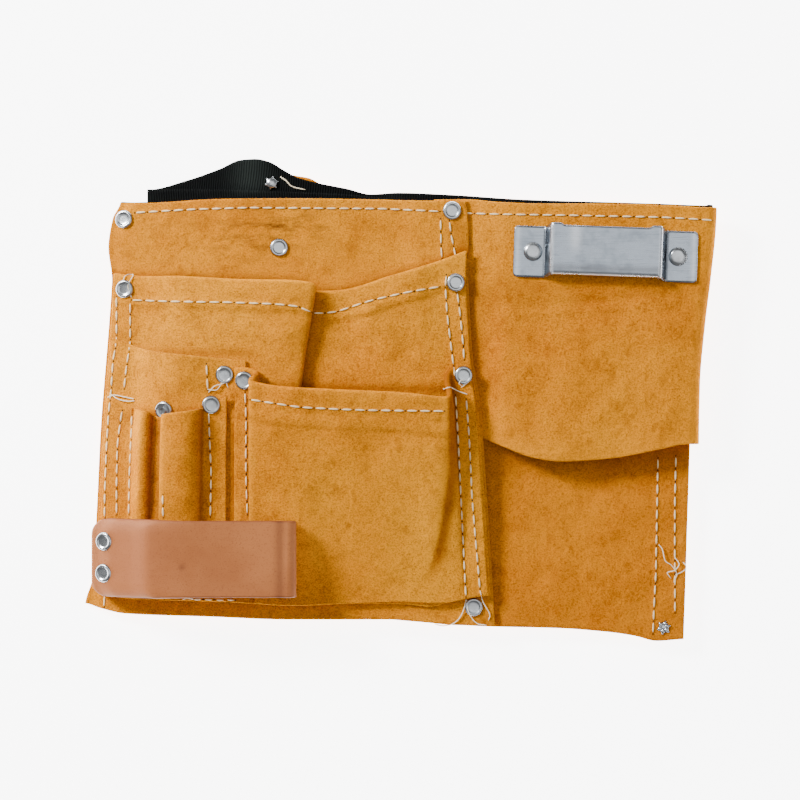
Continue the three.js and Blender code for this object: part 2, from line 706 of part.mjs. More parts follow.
function beltRoute() {
  const route = [];
  const add = (x, z, top) => route.push({ x, z, top });
  const turns = 4;
  const lay = (from, to, count, level, top) => {
    for (const share of evenly(count)) {
      const x = lerp(from, to, share);
      add(x, level(x), top(x));
    }
  };
  const turn = (x, z, radius, side, top) => {
    for (let i = 1; i < turns; i += 1) {
      const angle = (Math.PI * i) / turns;
      add(x + side * radius * Math.sin(angle), z + radius * Math.cos(angle), top);
    }
  };
  const tailX = beltCornerX + BELT_TAIL;
  const tail = (x) => beltFrontLevel(x) - 2 * beltFold;
  lay(tailX, beltCornerX, 4, tail, frontEdge);
  turn(beltCornerX, beltFrontLevel(beltCornerX) - beltFold, -beltFold, 1, frontEdge(beltCornerX));
  lay(beltCornerX, panelStartX, 14, beltFrontLevel, frontEdge);
  lay(panelStartX + 5, panelTurnX, 14, beltFrontLevel, frontEdge);
  turn(panelTurnX, (beltTop + beltLow) / 2, beltRadius, 1, edgeHeight(BELT_WAIST, panelTurnX));
  const rearTop = (x) => edgeHeight(BELT_WAIST, x);
  lay(panelTurnX, beltFreeX + 1, 34, beltRearLevel, rearTop);
  turn(beltFreeX + 1, beltRearLevel(beltFreeX) + beltFold, -beltFold, 1, rearTop(beltFreeX));
  const comeback = (x) => beltRearLevel(Math.min(x, beltStepX)) + 2 * beltFold;
  lay(beltFreeX + 1, beltEndX, 16, comeback, (x) => edgeHeight(BELT_COMEBACK, x));
  const barRadius = (CLASP_THICKNESS + WEBBING) / 2 + CLEARANCE;
  const barZ = comeback(beltEndX) + barRadius;
  const barTop = edgeHeight(BELT_COMEBACK, beltEndX);
  turn(beltEndX, barZ, -barRadius, -1, barTop);
  lay(beltEndX, beltEndX - BELT_END, 3, () => barZ + barRadius, () => barTop);
  return { route, barZ, barTop };
}

const belt = beltRoute();

// The belt keeps beside the panel where the fold leans in
function besideFold(x, y) {
  const back = read(PANEL_FOLD_LINE, 'down', 'back', (WAIST_Y - y) / PANEL_DEPTH) * PANEL_FRONT_WIDTH;
  return x - back * smoothstep(x, panelTurnX - 3 * PANEL_RADIUS, panelTurnX);
}

function beltGeometry() {
  const stations = belt.route.length - 1;
  return sheet(
    evenly(stations),
    evenly(1),
    (u, v) => {
      const station = belt.route[Math.round(u * stations)];
      const y = station.top - v * BELT_WIDTH;
      return new THREE.Vector3(besideFold(station.x, y), y, station.z);
    },
    WEBBING,
  );
}

function box(lengthX, lengthY, lengthZ, x, y, z) {
  const geometry = new THREE.BoxGeometry(lengthX, lengthY, lengthZ);
  geometry.translate(x, y, z);
  return geometry;
}

// The clasp is one plain plate with a slot; the belt's end turns round its bar
function claspGeometry() {
  const barEnd = beltEndX + CLEARANCE;
  const y = belt.barTop - BELT_WIDTH / 2;
  const slotWidthY = BELT_WIDTH + 2 * CLEARANCE;
  const plate = box(CLASP_LENGTH, CLASP_WIDTH, CLASP_THICKNESS, 0, 0, 0);
  plate.translate(barEnd - CLASP_BAR + CLASP_LENGTH / 2, y, belt.barZ);
  const slot = box(CLASP_SLOT, slotWidthY, CLASP_THICKNESS * 2, barEnd + CLASP_SLOT / 2, y, belt.barZ);
  return geometryOf(solid(plate).subtract(solid(slot)));
}

// The clip's rolled lip, out from the bridge's lower edge and up from its underside
const CLIP_LIP_PROFILE = [
  { out: 0, up: 0 },
  { out: 0, up: CLIP_STEEL },
  { out: 1.1, up: CLIP_STEEL - 0.4 },
  { out: 1.8, up: -0.6 },
  { out: 1.5, up: CLIP_STEEL - CLIP_LIP },
  { out: 0.6, up: CLIP_STEEL - CLIP_LIP },
  { out: 0.8, up: -0.5 },
];

// Tape clip: tabs with round corners, steps up to a bridge with a shallow notch, and a rolled lip
function clipGeometry() {
  const half = CLIP_LENGTH / 2;
  const bridge = CLIP_BRIDGE / 2;
  const steel = CLIP_STEEL;
  const side = [
    [-half, 0], [-bridge - CLIP_STEP, 0], [-bridge, CLIP_RISE], [bridge, CLIP_RISE],
    [bridge + CLIP_STEP, 0], [half, 0], [half, steel], [bridge + CLIP_STEP + 0.5, steel],
    [bridge + 0.5, CLIP_RISE + steel], [-bridge - 0.5, CLIP_RISE + steel],
    [-bridge - CLIP_STEP - 0.5, steel], [-half, steel],
  ];
  const shape = new THREE.Shape(side.map(([x, z]) => new THREE.Vector2(x, z)));
  const strip = new THREE.ExtrudeGeometry(shape, { depth: CLIP_WIDTH, bevelEnabled: false });
  strip.translate(0, 0, -CLIP_WIDTH / 2);
  strip.rotateX(Math.PI / 2);
  const outline = new THREE.Shape();
  const corner = CLIP_CORNER;
  const deep = CLIP_WIDTH / 2;
  const notch = CLIP_NOTCH / 2;
  outline.moveTo(-half + corner, -deep);
  outline.lineTo(half - corner, -deep);
  outline.absarc(half - corner, -deep + corner, corner, -Math.PI / 2, 0);
  outline.absarc(half - corner, deep - corner, corner, 0, Math.PI / 2);
  outline.lineTo(notch + CLIP_NOTCH_DEPTH, deep);
  outline.lineTo(notch, deep - CLIP_NOTCH_DEPTH);
  outline.lineTo(-notch, deep - CLIP_NOTCH_DEPTH);
  outline.lineTo(-notch - CLIP_NOTCH_DEPTH, deep);
  outline.absarc(-half + corner, deep - corner, corner, Math.PI / 2, Math.PI);
  outline.absarc(-half + corner, -deep + corner, corner, Math.PI, Math.PI * 1.5);
  const cut = { depth: 3 * CLIP_RISE, bevelEnabled: false, curveSegments: 3 };
  const cutter = new THREE.ExtrudeGeometry(outline, cut);
  cutter.translate(0, 0, -CLIP_RISE);
  const plate = solid(strip).intersect(solid(cutter));
  const lipLength = CLIP_BRIDGE - steel;
  const lipShape = new THREE.Shape(CLIP_LIP_PROFILE.map(({ out, up }) => new THREE.Vector2(-out, up)));
  const lip = new THREE.ExtrudeGeometry(lipShape, { depth: lipLength, bevelEnabled: false });
  lip.translate(0, 0, -lipLength / 2);
  lip.applyMatrix4(new THREE.Matrix4().makeBasis(
    new THREE.Vector3(0, 1, 0), new THREE.Vector3(0, 0, 1), new THREE.Vector3(1, 0, 0),
  ));
  lip.translate(0, -deep + 0.01, CLIP_RISE);
  return geometryOf(plate.add(solid(lip)));
}

const clipAcross = (CLIP_X - panelStartX) / panelFlat;
const clipLevel = panelFoldLevel + SUEDE / 2 + CLEARANCE / 2;

function placeClip(geometry) {
  geometry.rotateZ(degToRad(CLIP_TURN));
  geometry.translate(CLIP_X, WAIST_Y - CLIP_DROP, clipLevel);
  return geometry;
}

// Sheets of the front pouch, as functions of a share across and a share down each piece
const backing = (u, v) => onPouch(u, v, 0);
const upper = (u, v) => {
  const across = lerp(edgeInset / 2, 1 - edgeInset / 2, u);
  const low = HEM_LINE - UPPER_NOTCH * smoothstep(across, 0.84, 0.93);
  const down = lerp(upperTop + read(UPPER_FORM, 'across', 'dip', across), low, v);
  return onPouch(across, down, upperHeight(across, down));
};
const middle = (u, v) => {
  const across = edgeInset + u * middleWidth;
  const down = lerp(middleTop + read(MIDDLE_FORM, 'across', 'dip', u), HEM_LINE, v);
  return onPouch(across, down, middleHeight(across, down));
};
const rearBacking = (u, v) => onRear(u, v, rearLevel);
const rearUpper = (u, v) => {
  const across = lerp(edgeInset, 1 - edgeInset, u);
  return onRear(across, lerp(rearUpperTop, REAR_HEM_LINE, v), rearUpperLevel);
};

const knots = (rows, key) => rows.map((row) => row[key]);

// Lines where each sheet is divided: closer where it bends more
const BACKING_LINES = [0, 0.02, 0.04, 0.07, 0.1, 0.16, 0.22, 0.31, 0.4, 0.55, 0.7, 0.8, 0.835, 0.87, 1];
const UPPER_LINES = [0, 0.04, 0.07, 0.12, 0.18, 0.25, 0.34, 0.4, 0.45, 0.51, 0.535, 0.555, 0.57, 0.585,
  0.62, 0.7, 0.8, 0.835, 0.87, 0.92, 1];

const SHEETS = {
  pouch_backing: [BACKING_LINES, evenly(9), backing, SUEDE],
  upper_pocket: [UPPER_LINES, evenly(9), upper, SUEDE],
  middle_pocket: [[0, 0.06, 0.12, 0.2, 0.3, 0.42, 0.54, 0.66, 0.78, 0.9, 1], evenly(8), middle, SUEDE],
  tool_slot_panel: [knots(SLOT_FORM, 'along'), evenly(8), slotPoint, SUEDE],
  main_pocket: [knots(MAIN_FORM, 'along'), evenly(9), mainPoint, SUEDE],
  rear_pouch_backing: [evenly(16), evenly(6), rearBacking, SUEDE],
  rear_upper_pocket: [evenly(8), evenly(5), rearUpper, SUEDE],
  rear_main_pocket: [knots(REAR_MAIN_FORM, 'along'), [0, 0.3, 0.6, 0.86, 0.93, 1], rearMainPoint, SUEDE],
};

const loopTurn = (Math.PI * loopFoldRadius) / (2 * (LOOP_LENGTH - loopFoldRadius - STRAP_LEATHER / 2)
  + Math.PI * loopFoldRadius);
const loopStraight = (1 - loopTurn) / 2;
const loopLines = [
  ...evenly(LOOP_STATIONS).map((share) => share * loopStraight),
  ...evenly(6).slice(1, 6).map((share) => loopStraight + share * loopTurn),
  ...evenly(LOOP_STATIONS).map((share) => 1 - (1 - share) * loopStraight),
];
SHEETS.hammer_loop = [loopLines, [0, 0.06, 0.19, 0.81, 0.94, 1], loopPoint, STRAP_LEATHER];

const PANEL_FRONT_LINES = [0, 0.06, 0.13, 0.165, 0.2, 0.25, 0.3, 0.45, 0.6, 0.75, 0.9, 1];
const panelLines = [
  ...PANEL_FRONT_LINES.map((share) => (share * panelFlat) / panelLength),
  ...evenly(6).slice(1).map((share) => (panelFlat + share * panelArc) / panelLength),
  1,
];
SHEETS.centre_panel = [panelLines, evenly(8), panelPoint, SUEDE];

const solids = {};
for (const [name, [along, down, form, thickness]] of Object.entries(SHEETS)) {
  solids[name] = solid(sheet(along, down, form, thickness));
}
solids.waist_belt = solid(beltGeometry());
solids.belt_clasp = solid(claspGeometry());
solids.tape_clip = solid(placeClip(clipGeometry()));

// Middle height of each layer at a place on the front pouch, over the pouch backing
const overBacking = (level) => (across, down) => level(pouchPlan(across, down).x) - pouchLevel(across, down);
const LAYERS = {
  pouch_backing: () => 0,
  upper_pocket: upperHeight,
  middle_pocket: middleHeight,
  tool_slot_panel: slotSeat,
  main_pocket: mainSeat,
  centre_panel: () => -PITCH,
  waist_belt: overBacking(beltFrontLevel),
  belt_tail: overBacking((x) => beltFrontLevel(x) - 2 * beltFold),
  hammer_loop: overBacking((x) => (
    read(loopLevels, 'share', 'z', (x - loopStartX) / LOOP_LENGTH) + STRAP_LEATHER + CLEARANCE
  )),
};

// The pieces that each rivet goes through, from its cap to its clinch
const STACKS = {
  hem: ['pouch_backing'],
  waist: ['pouch_backing', 'waist_belt'],
  waistInner: ['pouch_backing', 'centre_panel', 'waist_belt'],
  upperOuter: ['upper_pocket', 'pouch_backing'],
  upperInner: ['upper_pocket', 'pouch_backing', 'centre_panel'],
  mainInner: ['main_pocket', 'upper_pocket', 'pouch_backing', 'centre_panel'],
  middle: ['middle_pocket', 'upper_pocket'],
  mainOuter: ['main_pocket', 'middle_pocket', 'upper_pocket'],
  slots: ['tool_slot_panel', 'middle_pocket'],
  loop: ['hammer_loop', 'middle_pocket', 'upper_pocket', 'pouch_backing'],
};

// Each rivet's place on the pouch and the layer that its clinch grips; its cap sits on its first piece
const RIVETS = [
  { name: 'rivet_waist_outer', across: 0.034, down: 0.04, grip: 'belt_tail', stack: 'waist' },
  { name: 'rivet_waist_inner', across: 0.957, down: 0.024, grip: 'waist_belt', stack: 'waistInner' },
  { name: 'rivet_waist_middle', across: 0.476, down: 0.117, grip: 'waist_belt', stack: 'waist' },
  { name: 'rivet_upper_outer', across: 0.042, down: 0.212, grip: 'pouch_backing', stack: 'upperOuter' },
  { name: 'rivet_upper_inner', across: 0.964, down: 0.193, grip: 'centre_panel', stack: 'upperInner' },
  { name: 'rivet_main_inner', across: 0.967, down: 0.41, grip: 'centre_panel', stack: 'mainInner' },
  { name: 'rivet_middle_corner', across: mainPlace(-0.043), down: 0.42, grip: 'upper_pocket', stack: 'middle' },
  { name: 'rivet_main_outer', across: mainPlace(0.042), down: 0.433, grip: 'upper_pocket', stack: 'mainOuter' },
  { name: 'rivet_slot_seam', across: slotPlace(0.341), down: 0.505, grip: 'middle_pocket', stack: 'slots' },
  { name: 'rivet_slot_outer', across: slotPlace(0.834), down: 0.492, grip: 'middle_pocket', stack: 'slots' },
  { name: 'rivet_loop_upper', across: 0.033, down: 0.833, grip: 'pouch_backing', stack: 'loop' },
  { name: 'rivet_loop_lower', across: 0.036, down: 0.91, grip: 'pouch_backing', stack: 'loop' },
  { name: 'rivet_hem_inner', across: 0.95, down: 0.956, grip: 'pouch_backing', stack: 'hem' },
];

const RIVET_SIDES = 8;

function rivetGeometry(stack) {
  const low = -stack - 2 * SEAT_GAP;
  const profile = [
    [0, CAP_HEIGHT * 0.75], [CAP_RADIUS * 0.5, CAP_HEIGHT * 0.75], [CAP_RADIUS * 0.75, CAP_HEIGHT],
    [CAP_RADIUS, CAP_HEIGHT * 0.5], [CAP_RADIUS, 0], [SHANK_RADIUS, 0], [SHANK_RADIUS, low],
    [CLINCH_RADIUS, low], [CLINCH_RADIUS * 0.8, low - CLINCH_HEIGHT], [0, low - CLINCH_HEIGHT],
  ];
  const points = profile.reverse().map(([r, z]) => new THREE.Vector2(r, z));
  const geometry = new THREE.LatheGeometry(points, RIVET_SIDES);
  geometry.rotateX(Math.PI / 2);
  geometry.translate(0, 0, SEAT_GAP);
  return geometry;
}

function holeGeometry(stack) {
  const radius = (SHANK_RADIUS + SHANK_CLEARANCE) / Math.cos(Math.PI / RIVET_SIDES);
  const length = stack + 4;
  const geometry = new THREE.CylinderGeometry(radius, radius, length, RIVET_SIDES);
  geometry.rotateX(Math.PI / 2);
  geometry.translate(0, 0, 1.5 - length / 2);
  return geometry;
}

function setRivet(name, foot, normal, stack, through) {
  const turn = new THREE.Matrix4().makeRotationFromQuaternion(
    new THREE.Quaternion().setFromUnitVectors(new THREE.Vector3(0, 0, 1), normal),
  );
  turn.setPosition(foot);
  const hole = solid(holeGeometry(stack).applyMatrix4(turn));
  for (const piece of through) {
    solids[piece] = solids[piece].subtract(hole);
  }
  solids[name] = solid(rivetGeometry(stack).applyMatrix4(turn));
}

function surfaceNormal(form, across, down) {
  const reach = 0.016;
  const left = form(across - reach, down);
  const right = form(across + reach, down);
  const above = form(across, down - reach);
  const below = form(across, down + reach);
  return right.sub(left).cross(above.sub(below)).normalize();
}

// How far a curved layer stands out past a flat disc of this radius, along the disc's normal
function standOut(form, across, down, radius, normal) {
  const centre = form(across, down);
  const heights = evenly(8).map((turn) => {
    const angle = 2 * Math.PI * turn;
    const u = across + (radius * Math.cos(angle)) / meanPouchWidth;
    const v = down + (radius * Math.sin(angle)) / POUCH_HEIGHT;
    return form(u, v).sub(centre).dot(normal);
  });
  return Math.max(0, ...heights);
}

// Where the axis of a rivet meets a layer below: the distance along it and the place on the pouch
function reachBelow(start, normal, form, across, down) {
  let place = { reach: 0, u: across, v: down };
  for (let pass = 0; pass < 6; pass += 1) {
    const hit = form(place.u, place.v);
    const reach = start.clone().sub(hit).dot(normal);
    const onAxis = start.clone().addScaledVector(normal, -reach);
    const u = place.u + (onAxis.x - hit.x) / meanPouchWidth;
    const v = place.v - (onAxis.y - hit.y) / POUCH_HEIGHT;
    place = { reach, u, v };
  }
  return place;
}

const halfOf = (piece) => {
  if (piece === 'hammer_loop') {
    return STRAP_LEATHER / 2;
  }
  return (piece.includes('belt') ? WEBBING : SUEDE) / 2;
};

for (const { name, across, down, grip, stack } of RIVETS) {
  const through = STACKS[stack];
  const top = through[0];
  const upperForm = (u, v) => onPouch(u, v, LAYERS[top](u, v));
  const lowerForm = (u, v) => onPouch(u, v, LAYERS[grip](u, v));
  const normal = surfaceNormal(upperForm, across, down);
  if (top === 'hammer_loop') {
    normal.add(surfaceNormal(lowerForm, across, down)).normalize();
  }
  const start = upperForm(across, down);
  const over = halfOf(top) + standOut(upperForm, across, down, CAP_RADIUS, normal);
  const { reach, u, v } = reachBelow(start, normal, lowerForm, across, down);
  const under = halfOf(grip) + standOut(lowerForm, u, v, CLINCH_RADIUS, normal.clone().negate());
  setRivet(name, start.addScaledVector(normal, over), normal, over + reach + under, through);
}

const up = new THREE.Vector3(0, 0, 1);
for (const [name, side] of [['rivet_clip_inner', -1], ['rivet_clip_outer', 1]]) {
  const arm = new THREE.Vector3(side * CLIP_RIVET_REACH, 0, 0).applyAxisAngle(up, degToRad(CLIP_TURN));
  const foot = new THREE.Vector3(CLIP_X, WAIST_Y - CLIP_DROP, clipLevel + CLIP_STEEL).add(arm);
  const stack = clipLevel + CLIP_STEEL - (panelFoldLevel - BELT_DROP - WEBBING / 2);
  setRivet(name, foot, up, stack, ['tape_clip', 'centre_panel', 'waist_belt']);
}

// The rear pouch lies face down, so its rivets show their clinched ends
const below = new THREE.Vector3(0, 0, -1);
const rearFace = rearLevel - SUEDE / 2;
const rearCornerX = rearOuterX + REAR_RIVET_INSET;
const rearCornerY = edgeHeight(BELT_WAIST, rearCornerX) - REAR_RIVET_DROP;
const rearCorner = new THREE.Vector3(rearCornerX, rearCornerY, rearFace);
const rearStack = SUEDE + WEBBING + CLEARANCE;
setRivet('rivet_rear_waist', rearCorner, below, rearStack, ['rear_pouch_backing', 'waist_belt']);
const rearHem = rearPlan(1, 0.9725);
const rearHemFoot = new THREE.Vector3(rearHem.x - REAR_HEM_RIVET_INSET, rearHem.y, rearFace);
setRivet('rivet_rear_hem', rearHemFoot, below, SUEDE, ['rear_pouch_backing']);

// Finishes
const FINISHES = {
  suede: { color: 0xc98a2b, roughness: 0.95, metalness: 0 },
  strap: { color: 0xa86c46, roughness: 0.55, metalness: 0 },
  webbing: { color: 0x15171a, roughness: 0.9, metalness: 0 },
  plastic: { color: 0x1b1c1f, roughness: 0.5, metalness: 0 },
  steel: { color: 0xa9b2ba, roughness: 0.35, metalness: 0.9 },
  nickel: { color: 0xb9bec2, roughness: 0.25, metalness: 1 },
};
const finishOf = (name) => {
  if (name.startsWith('rivet')) {
    return FINISHES.nickel;
  }
  const special = { hammer_loop: 'strap', waist_belt: 'webbing', belt_clasp: 'plastic', tape_clip: 'steel' };
  return FINISHES[special[name] ?? 'suede'];
};

const apron = new THREE.Group();
for (const [name, manifold] of Object.entries(solids)) {
  const mesh = new THREE.Mesh(geometryOf(manifold), new THREE.MeshStandardMaterial(finishOf(name)));
  mesh.name = name;
  apron.add(mesh);
}

export default apron;
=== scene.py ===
"""Carpenter nail apron of split leather, folded in half and lying face up.

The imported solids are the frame. The leather sheets, the webbing belt, the strap of the hammer
loop, the tape clip and the rivets are modelled again here in the same places, with their hems,
folds, stitches and finishes. Sizes in the classes are in millimetres, meshes are in metres.
"""
import json
import logging
import math
from dataclasses import dataclass, field
from enum import Enum
from typing import Callable, Optional, Sequence

import bmesh
import bpy
import numpy as np
from mathutils import Matrix, Vector, noise
from mathutils.bvhtree import BVHTree

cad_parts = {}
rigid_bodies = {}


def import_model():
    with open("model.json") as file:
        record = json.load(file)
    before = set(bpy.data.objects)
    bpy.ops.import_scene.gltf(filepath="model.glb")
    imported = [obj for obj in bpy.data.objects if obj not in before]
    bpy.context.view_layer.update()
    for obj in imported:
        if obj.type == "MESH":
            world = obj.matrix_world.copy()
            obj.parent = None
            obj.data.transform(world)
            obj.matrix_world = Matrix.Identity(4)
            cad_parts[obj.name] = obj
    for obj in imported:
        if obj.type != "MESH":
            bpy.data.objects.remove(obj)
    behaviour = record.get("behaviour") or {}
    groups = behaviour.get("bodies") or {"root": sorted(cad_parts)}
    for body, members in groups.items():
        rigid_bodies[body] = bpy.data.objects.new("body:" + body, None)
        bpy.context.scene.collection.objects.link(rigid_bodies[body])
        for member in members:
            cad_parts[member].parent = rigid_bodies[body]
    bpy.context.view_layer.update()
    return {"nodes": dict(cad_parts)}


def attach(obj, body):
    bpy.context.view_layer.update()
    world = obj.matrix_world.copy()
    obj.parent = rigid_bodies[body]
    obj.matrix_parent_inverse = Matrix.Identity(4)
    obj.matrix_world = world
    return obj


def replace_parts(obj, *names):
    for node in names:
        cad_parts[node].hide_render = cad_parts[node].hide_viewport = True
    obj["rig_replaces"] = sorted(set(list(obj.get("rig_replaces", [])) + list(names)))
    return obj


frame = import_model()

log = logging.getLogger("nail_apron")

MM = 0.001
BODY = "root"

SUEDE = 1.5
STRAP_LEATHER = 2.6
WEBBING = 1.4
CLEARANCE = 0.5
PITCH = SUEDE + CLEARANCE
BELT_PITCH = WEBBING + CLEARANCE
BELT_DROP = (SUEDE + WEBBING) / 2 + CLEARANCE
WAIST_Y = 105.5
FOLD_X = 168.0
CAP_HEIGHT = 1.1
SEAT_GAP = 0.25
STITCH_PITCH = 6.9

BACK = "pouch_back_leather"
UPPER = "upper_pocket_leather"
MIDDLE = "middle_pocket_leather"
SLOTS = "tool_slot_leather"
MAIN = "main_pocket_leather"
PANEL = "centre_panel_leather"
REAR = "rear_pouch_leather"
BELT = "webbing_belt"
LAYERS = (BACK, UPPER, MIDDLE, SLOTS, MAIN)

Socket = bpy.types.NodeSocket
Material = bpy.types.Material
Piece = bpy.types.Object
Mesh = bmesh.types.BMesh
Grid = np.ndarray
Form = Callable[[Grid, Grid], Grid]
Run = Callable[[float], float]
Hit = tuple[Vector, Vector]
Colour = tuple[float, float, float]
Tint = tuple[Socket, float, float, float, Colour]
COLOUR_MIX_INPUTS = (0, 6, 7)
COLOUR_MIX_OUTPUT = 2


def lerp(low: Grid, high: Grid, share: Grid) -> Grid:
    """Blend two values."""
    return low + (high - low) * share


def smoothstep(at: Grid, low: float, high: float) -> Grid:
    """Ease from 0 to 1 between two limits."""
    t = np.clip((np.asarray(at, float) - low) / (high - low), 0, 1)
    return t * t * (3 - 2 * t)


def taper(at: Grid, low: float, high: float) -> Grid:
    """Ease from 1 to 0 between two limits, as smoothstep does from 0 to 1."""
    return 1 - smoothstep(at, low, high)


def bump_at(at: Grid, centre: float, width: float) -> Grid:
    """A smooth bump of height 1."""
    return np.exp(-(((np.asarray(at, float) - centre) / width) ** 2))


def evenly(count: int) -> Grid:
    """Shares from 0 to 1 in count equal steps."""
    return np.linspace(0, 1, count + 1)


def edged(lines: Grid, edge: float) -> Grid:
    """Add a line close to each end of some shares, for a rounded rim."""
    return np.unique(np.concatenate([lines, [edge, 1 - edge]]))


def drift(x: Grid, y: Grid, size: float, seed: float) -> Grid:
    """Smooth unevenness over the plan, from -1 to 1.

    Args:
        x: plan places along the waist.
        y: plan places up the pouch.
        size: how wide its waves are.
        seed: picks one of many patterns.

    Returns:
        One value for each place.
    """
    flat = [
        noise.noise(Vector((a / size, b / size, seed)))
        for a, b in zip(np.ravel(x), np.ravel(y))
    ]
    return np.reshape(flat, np.shape(x))


@dataclass(frozen=True)
class Table:
    """Rows of numbers under named columns, eased from row to row."""

    columns: tuple[str, ...]
    rows: tuple[tuple[float, ...], ...]

    def column(self, name: str) -> Grid:
        """All the values of one column."""
        place = self.columns.index(name)
        return np.array([row[place] for row in self.rows], float)

    def read(self, name: str, at: Grid) -> Grid:
        """Read a column between its rows without overshooting them.

        Args:
            name: the column to read.
            at: values of the first column to read it at.

        Returns:
            The eased values.
        """
        keys, values = self.column(self.columns[0]), self.column(name)
        at = np.clip(np.asarray(at, float), keys[0], keys[-1])
        row = np.clip(np.searchsorted(keys, at, side="right") - 1, 0, len(keys) - 2)
        step = np.diff(keys)
        slope = np.diff(values) / step
        tangent = np.zeros(len(keys))
        before, after = slope[:-1], slope[1:]
        same = before * after > 0
        inner = np.zeros(len(keys) - 2)
        inner[same] = 2 * before[same] * after[same] / (before[same] + after[same])
        tangent[1:-1] = inner
        t = (at - keys[row]) / step[row]
        eased = lerp(values[row], values[row + 1], 3 * t**2 - 2 * t**3)
        leave = t * (1 - t) ** 2 * step[row] * tangent[row]
        arrive = t**2 * (t - 1) * step[row] * tangent[row + 1]
        return eased + leave + arrive


# Finishes


class NodeGraph:
    """A material's nodes, with short ways to add the usual ones."""

    def __init__(self, name: str) -> None:
        """Start an empty material with one surface shader.

        Args:
            name: the material's name.
        """
        self.material = bpy.data.materials.new(name)
        self.material.use_nodes = True
        self.tree = self.material.node_tree
        self.tree.nodes.clear()
        self.shader = self.add("ShaderNodeBsdfPrincipled")
        output = self.add("ShaderNodeOutputMaterial")
        self.link(self.shader.outputs["BSDF"], output.inputs["Surface"])
        self.place = self.add("ShaderNodeTexCoord").outputs["Object"]

    def add(self, kind: str) -> bpy.types.Node:
        """Add one node of a kind."""
        return self.tree.nodes.new(kind)

    def link(self, source: Socket, target: Socket) -> None:
        """Join an output to an input."""
        self.tree.links.new(source, target)

    def set(self, values: dict[str, object]) -> None:
        """Set numbers and colours on the shader's own sockets."""
        for socket, value in values.items():
            self.shader.inputs[socket].default_value = value

    def feed(self, socket: Socket, value: object) -> None:
        """Give an input a value."""
        if isinstance(value, Socket):
            self.link(value, socket)
        else:
            socket.default_value = (*value, 1.0) if isinstance(value, tuple) else value

    def stretch(self, scale: Sequence[float]) -> Socket:
        """Object coordinates stretched along the axes.

        Args:
            scale: a factor for each axis.

        Returns:
            The stretched coordinates.
        """
        mapping = self.add("ShaderNodeMapping")
        mapping.inputs["Scale"].default_value = scale
        self.link(self.place, mapping.inputs["Vector"])
        return mapping.outputs["Vector"]

    def grain(
        self,
        scale: float,
        detail: float = 3.0,
        roughness: float = 0.55,
        vector: Optional[Socket] = None,
    ) -> Socket:
        """Noise over the piece.

        Args:
            scale: waves a metre.
            detail: how many finer layers it has.
            roughness: how strong the finer layers are.
            vector: coordinates, or None for the object's own.

        Returns:
            The noise value, about 0 to 1.
        """
        node = self.add("ShaderNodeTexNoise")
        node.inputs["Scale"].default_value = scale
        node.inputs["Detail"].default_value = detail
        node.inputs["Roughness"].default_value = roughness
        self.link(vector or self.place, node.inputs["Vector"])
        return node.outputs["Fac"]

    def calc(self, how: str, first: object, second: object) -> Socket:
        """A number worked out from two others.

        Args:
            how: the operation, such as MULTIPLY.
            first: a number or an output.
            second: a number or an output.

        Returns:
            The result.
        """
        node = self.add("ShaderNodeMath")
        node.operation = how
        for socket, value in zip(node.inputs, (first, second)):
            self.feed(socket, value)
        return node.outputs["Value"]

    def span(
        self, value: Socket, low: float, high: float, to_low: float = 0.0, to_high: float = 1.0
    ) -> Socket:
        """Stretch a range of values onto another, and keep it inside.

        Args:
            value: what to stretch.
            low: the value that gives to_low.
            high: the value that gives to_high.
            to_low: lowest result.
            to_high: highest result.

        Returns:
            The stretched value.
        """
        node = self.add("ShaderNodeMapRange")
        limits = {"From Min": low, "From Max": high, "To Min": to_low, "To Max": to_high}
        for name, number in limits.items():
            node.inputs[name].default_value = number
        self.link(value, node.inputs["Value"])
        return node.outputs["Result"]

    def blend(self, share: object, first: object, second: object) -> Socket:
        """Blend two colours.

        Args:
            share: how much of the second shows.
            first: a colour or an output.
            second: a colour or an output.

        Returns:
            The blended colour.
        """
        node = self.add("ShaderNodeMix")
        node.data_type = "RGBA"
        factor, below, above = (node.inputs[place] for place in COLOUR_MIX_INPUTS)
        self.feed(factor, share)
        self.feed(below, first)
        self.feed(above, second)
        return node.outputs[COLOUR_MIX_OUTPUT]

    def tint(self, colour: object, tints: Sequence[Tint]) -> Socket:
        """Lay tints over a colour, one after the other.

        Args:
            colour: the colour under them.
            tints: for each its value, the limits it is read between, its most and its colour.

        Returns:
            The tinted colour.
        """
        for value, low, high, most, tone in tints:
            colour = self.blend(self.span(value, low, high, 0.0, most), colour, tone)
        return colour

    def dress(self, colour: Socket, roughness: float, gloss: float, **more: object) -> None:
        """Give the shader its colour and its plain numbers.

        Args:
            colour: the colour's output.
            roughness: how matt it is.
            gloss: how strongly it mirrors.
            more: other numbers or colours, by the name of their socket.
        """
        self.link(colour, self.shader.inputs["Base Color"])
        self.set({"Roughness": roughness, "Specular IOR Level": gloss})
        self.set({name.replace("_", " "): value for name, value in more.items()})

    def attribute(self, name: str) -> Socket:
        """A value that the mesh holds for each point."""
        node = self.add("ShaderNodeAttribute")
        node.attribute_name = name
        return node.outputs["Fac"]

    def flat_place(self) -> tuple[Socket, Socket]:
        """The two coordinates of the piece laid flat, in metres."""
        uv = self.add("ShaderNodeUVMap")
        uv.uv_map = "flat"
        parts = self.add("ShaderNodeSeparateXYZ")
        self.link(uv.outputs["UV"], parts.inputs["Vector"])
        return parts.outputs["X"], parts.outputs["Y"]

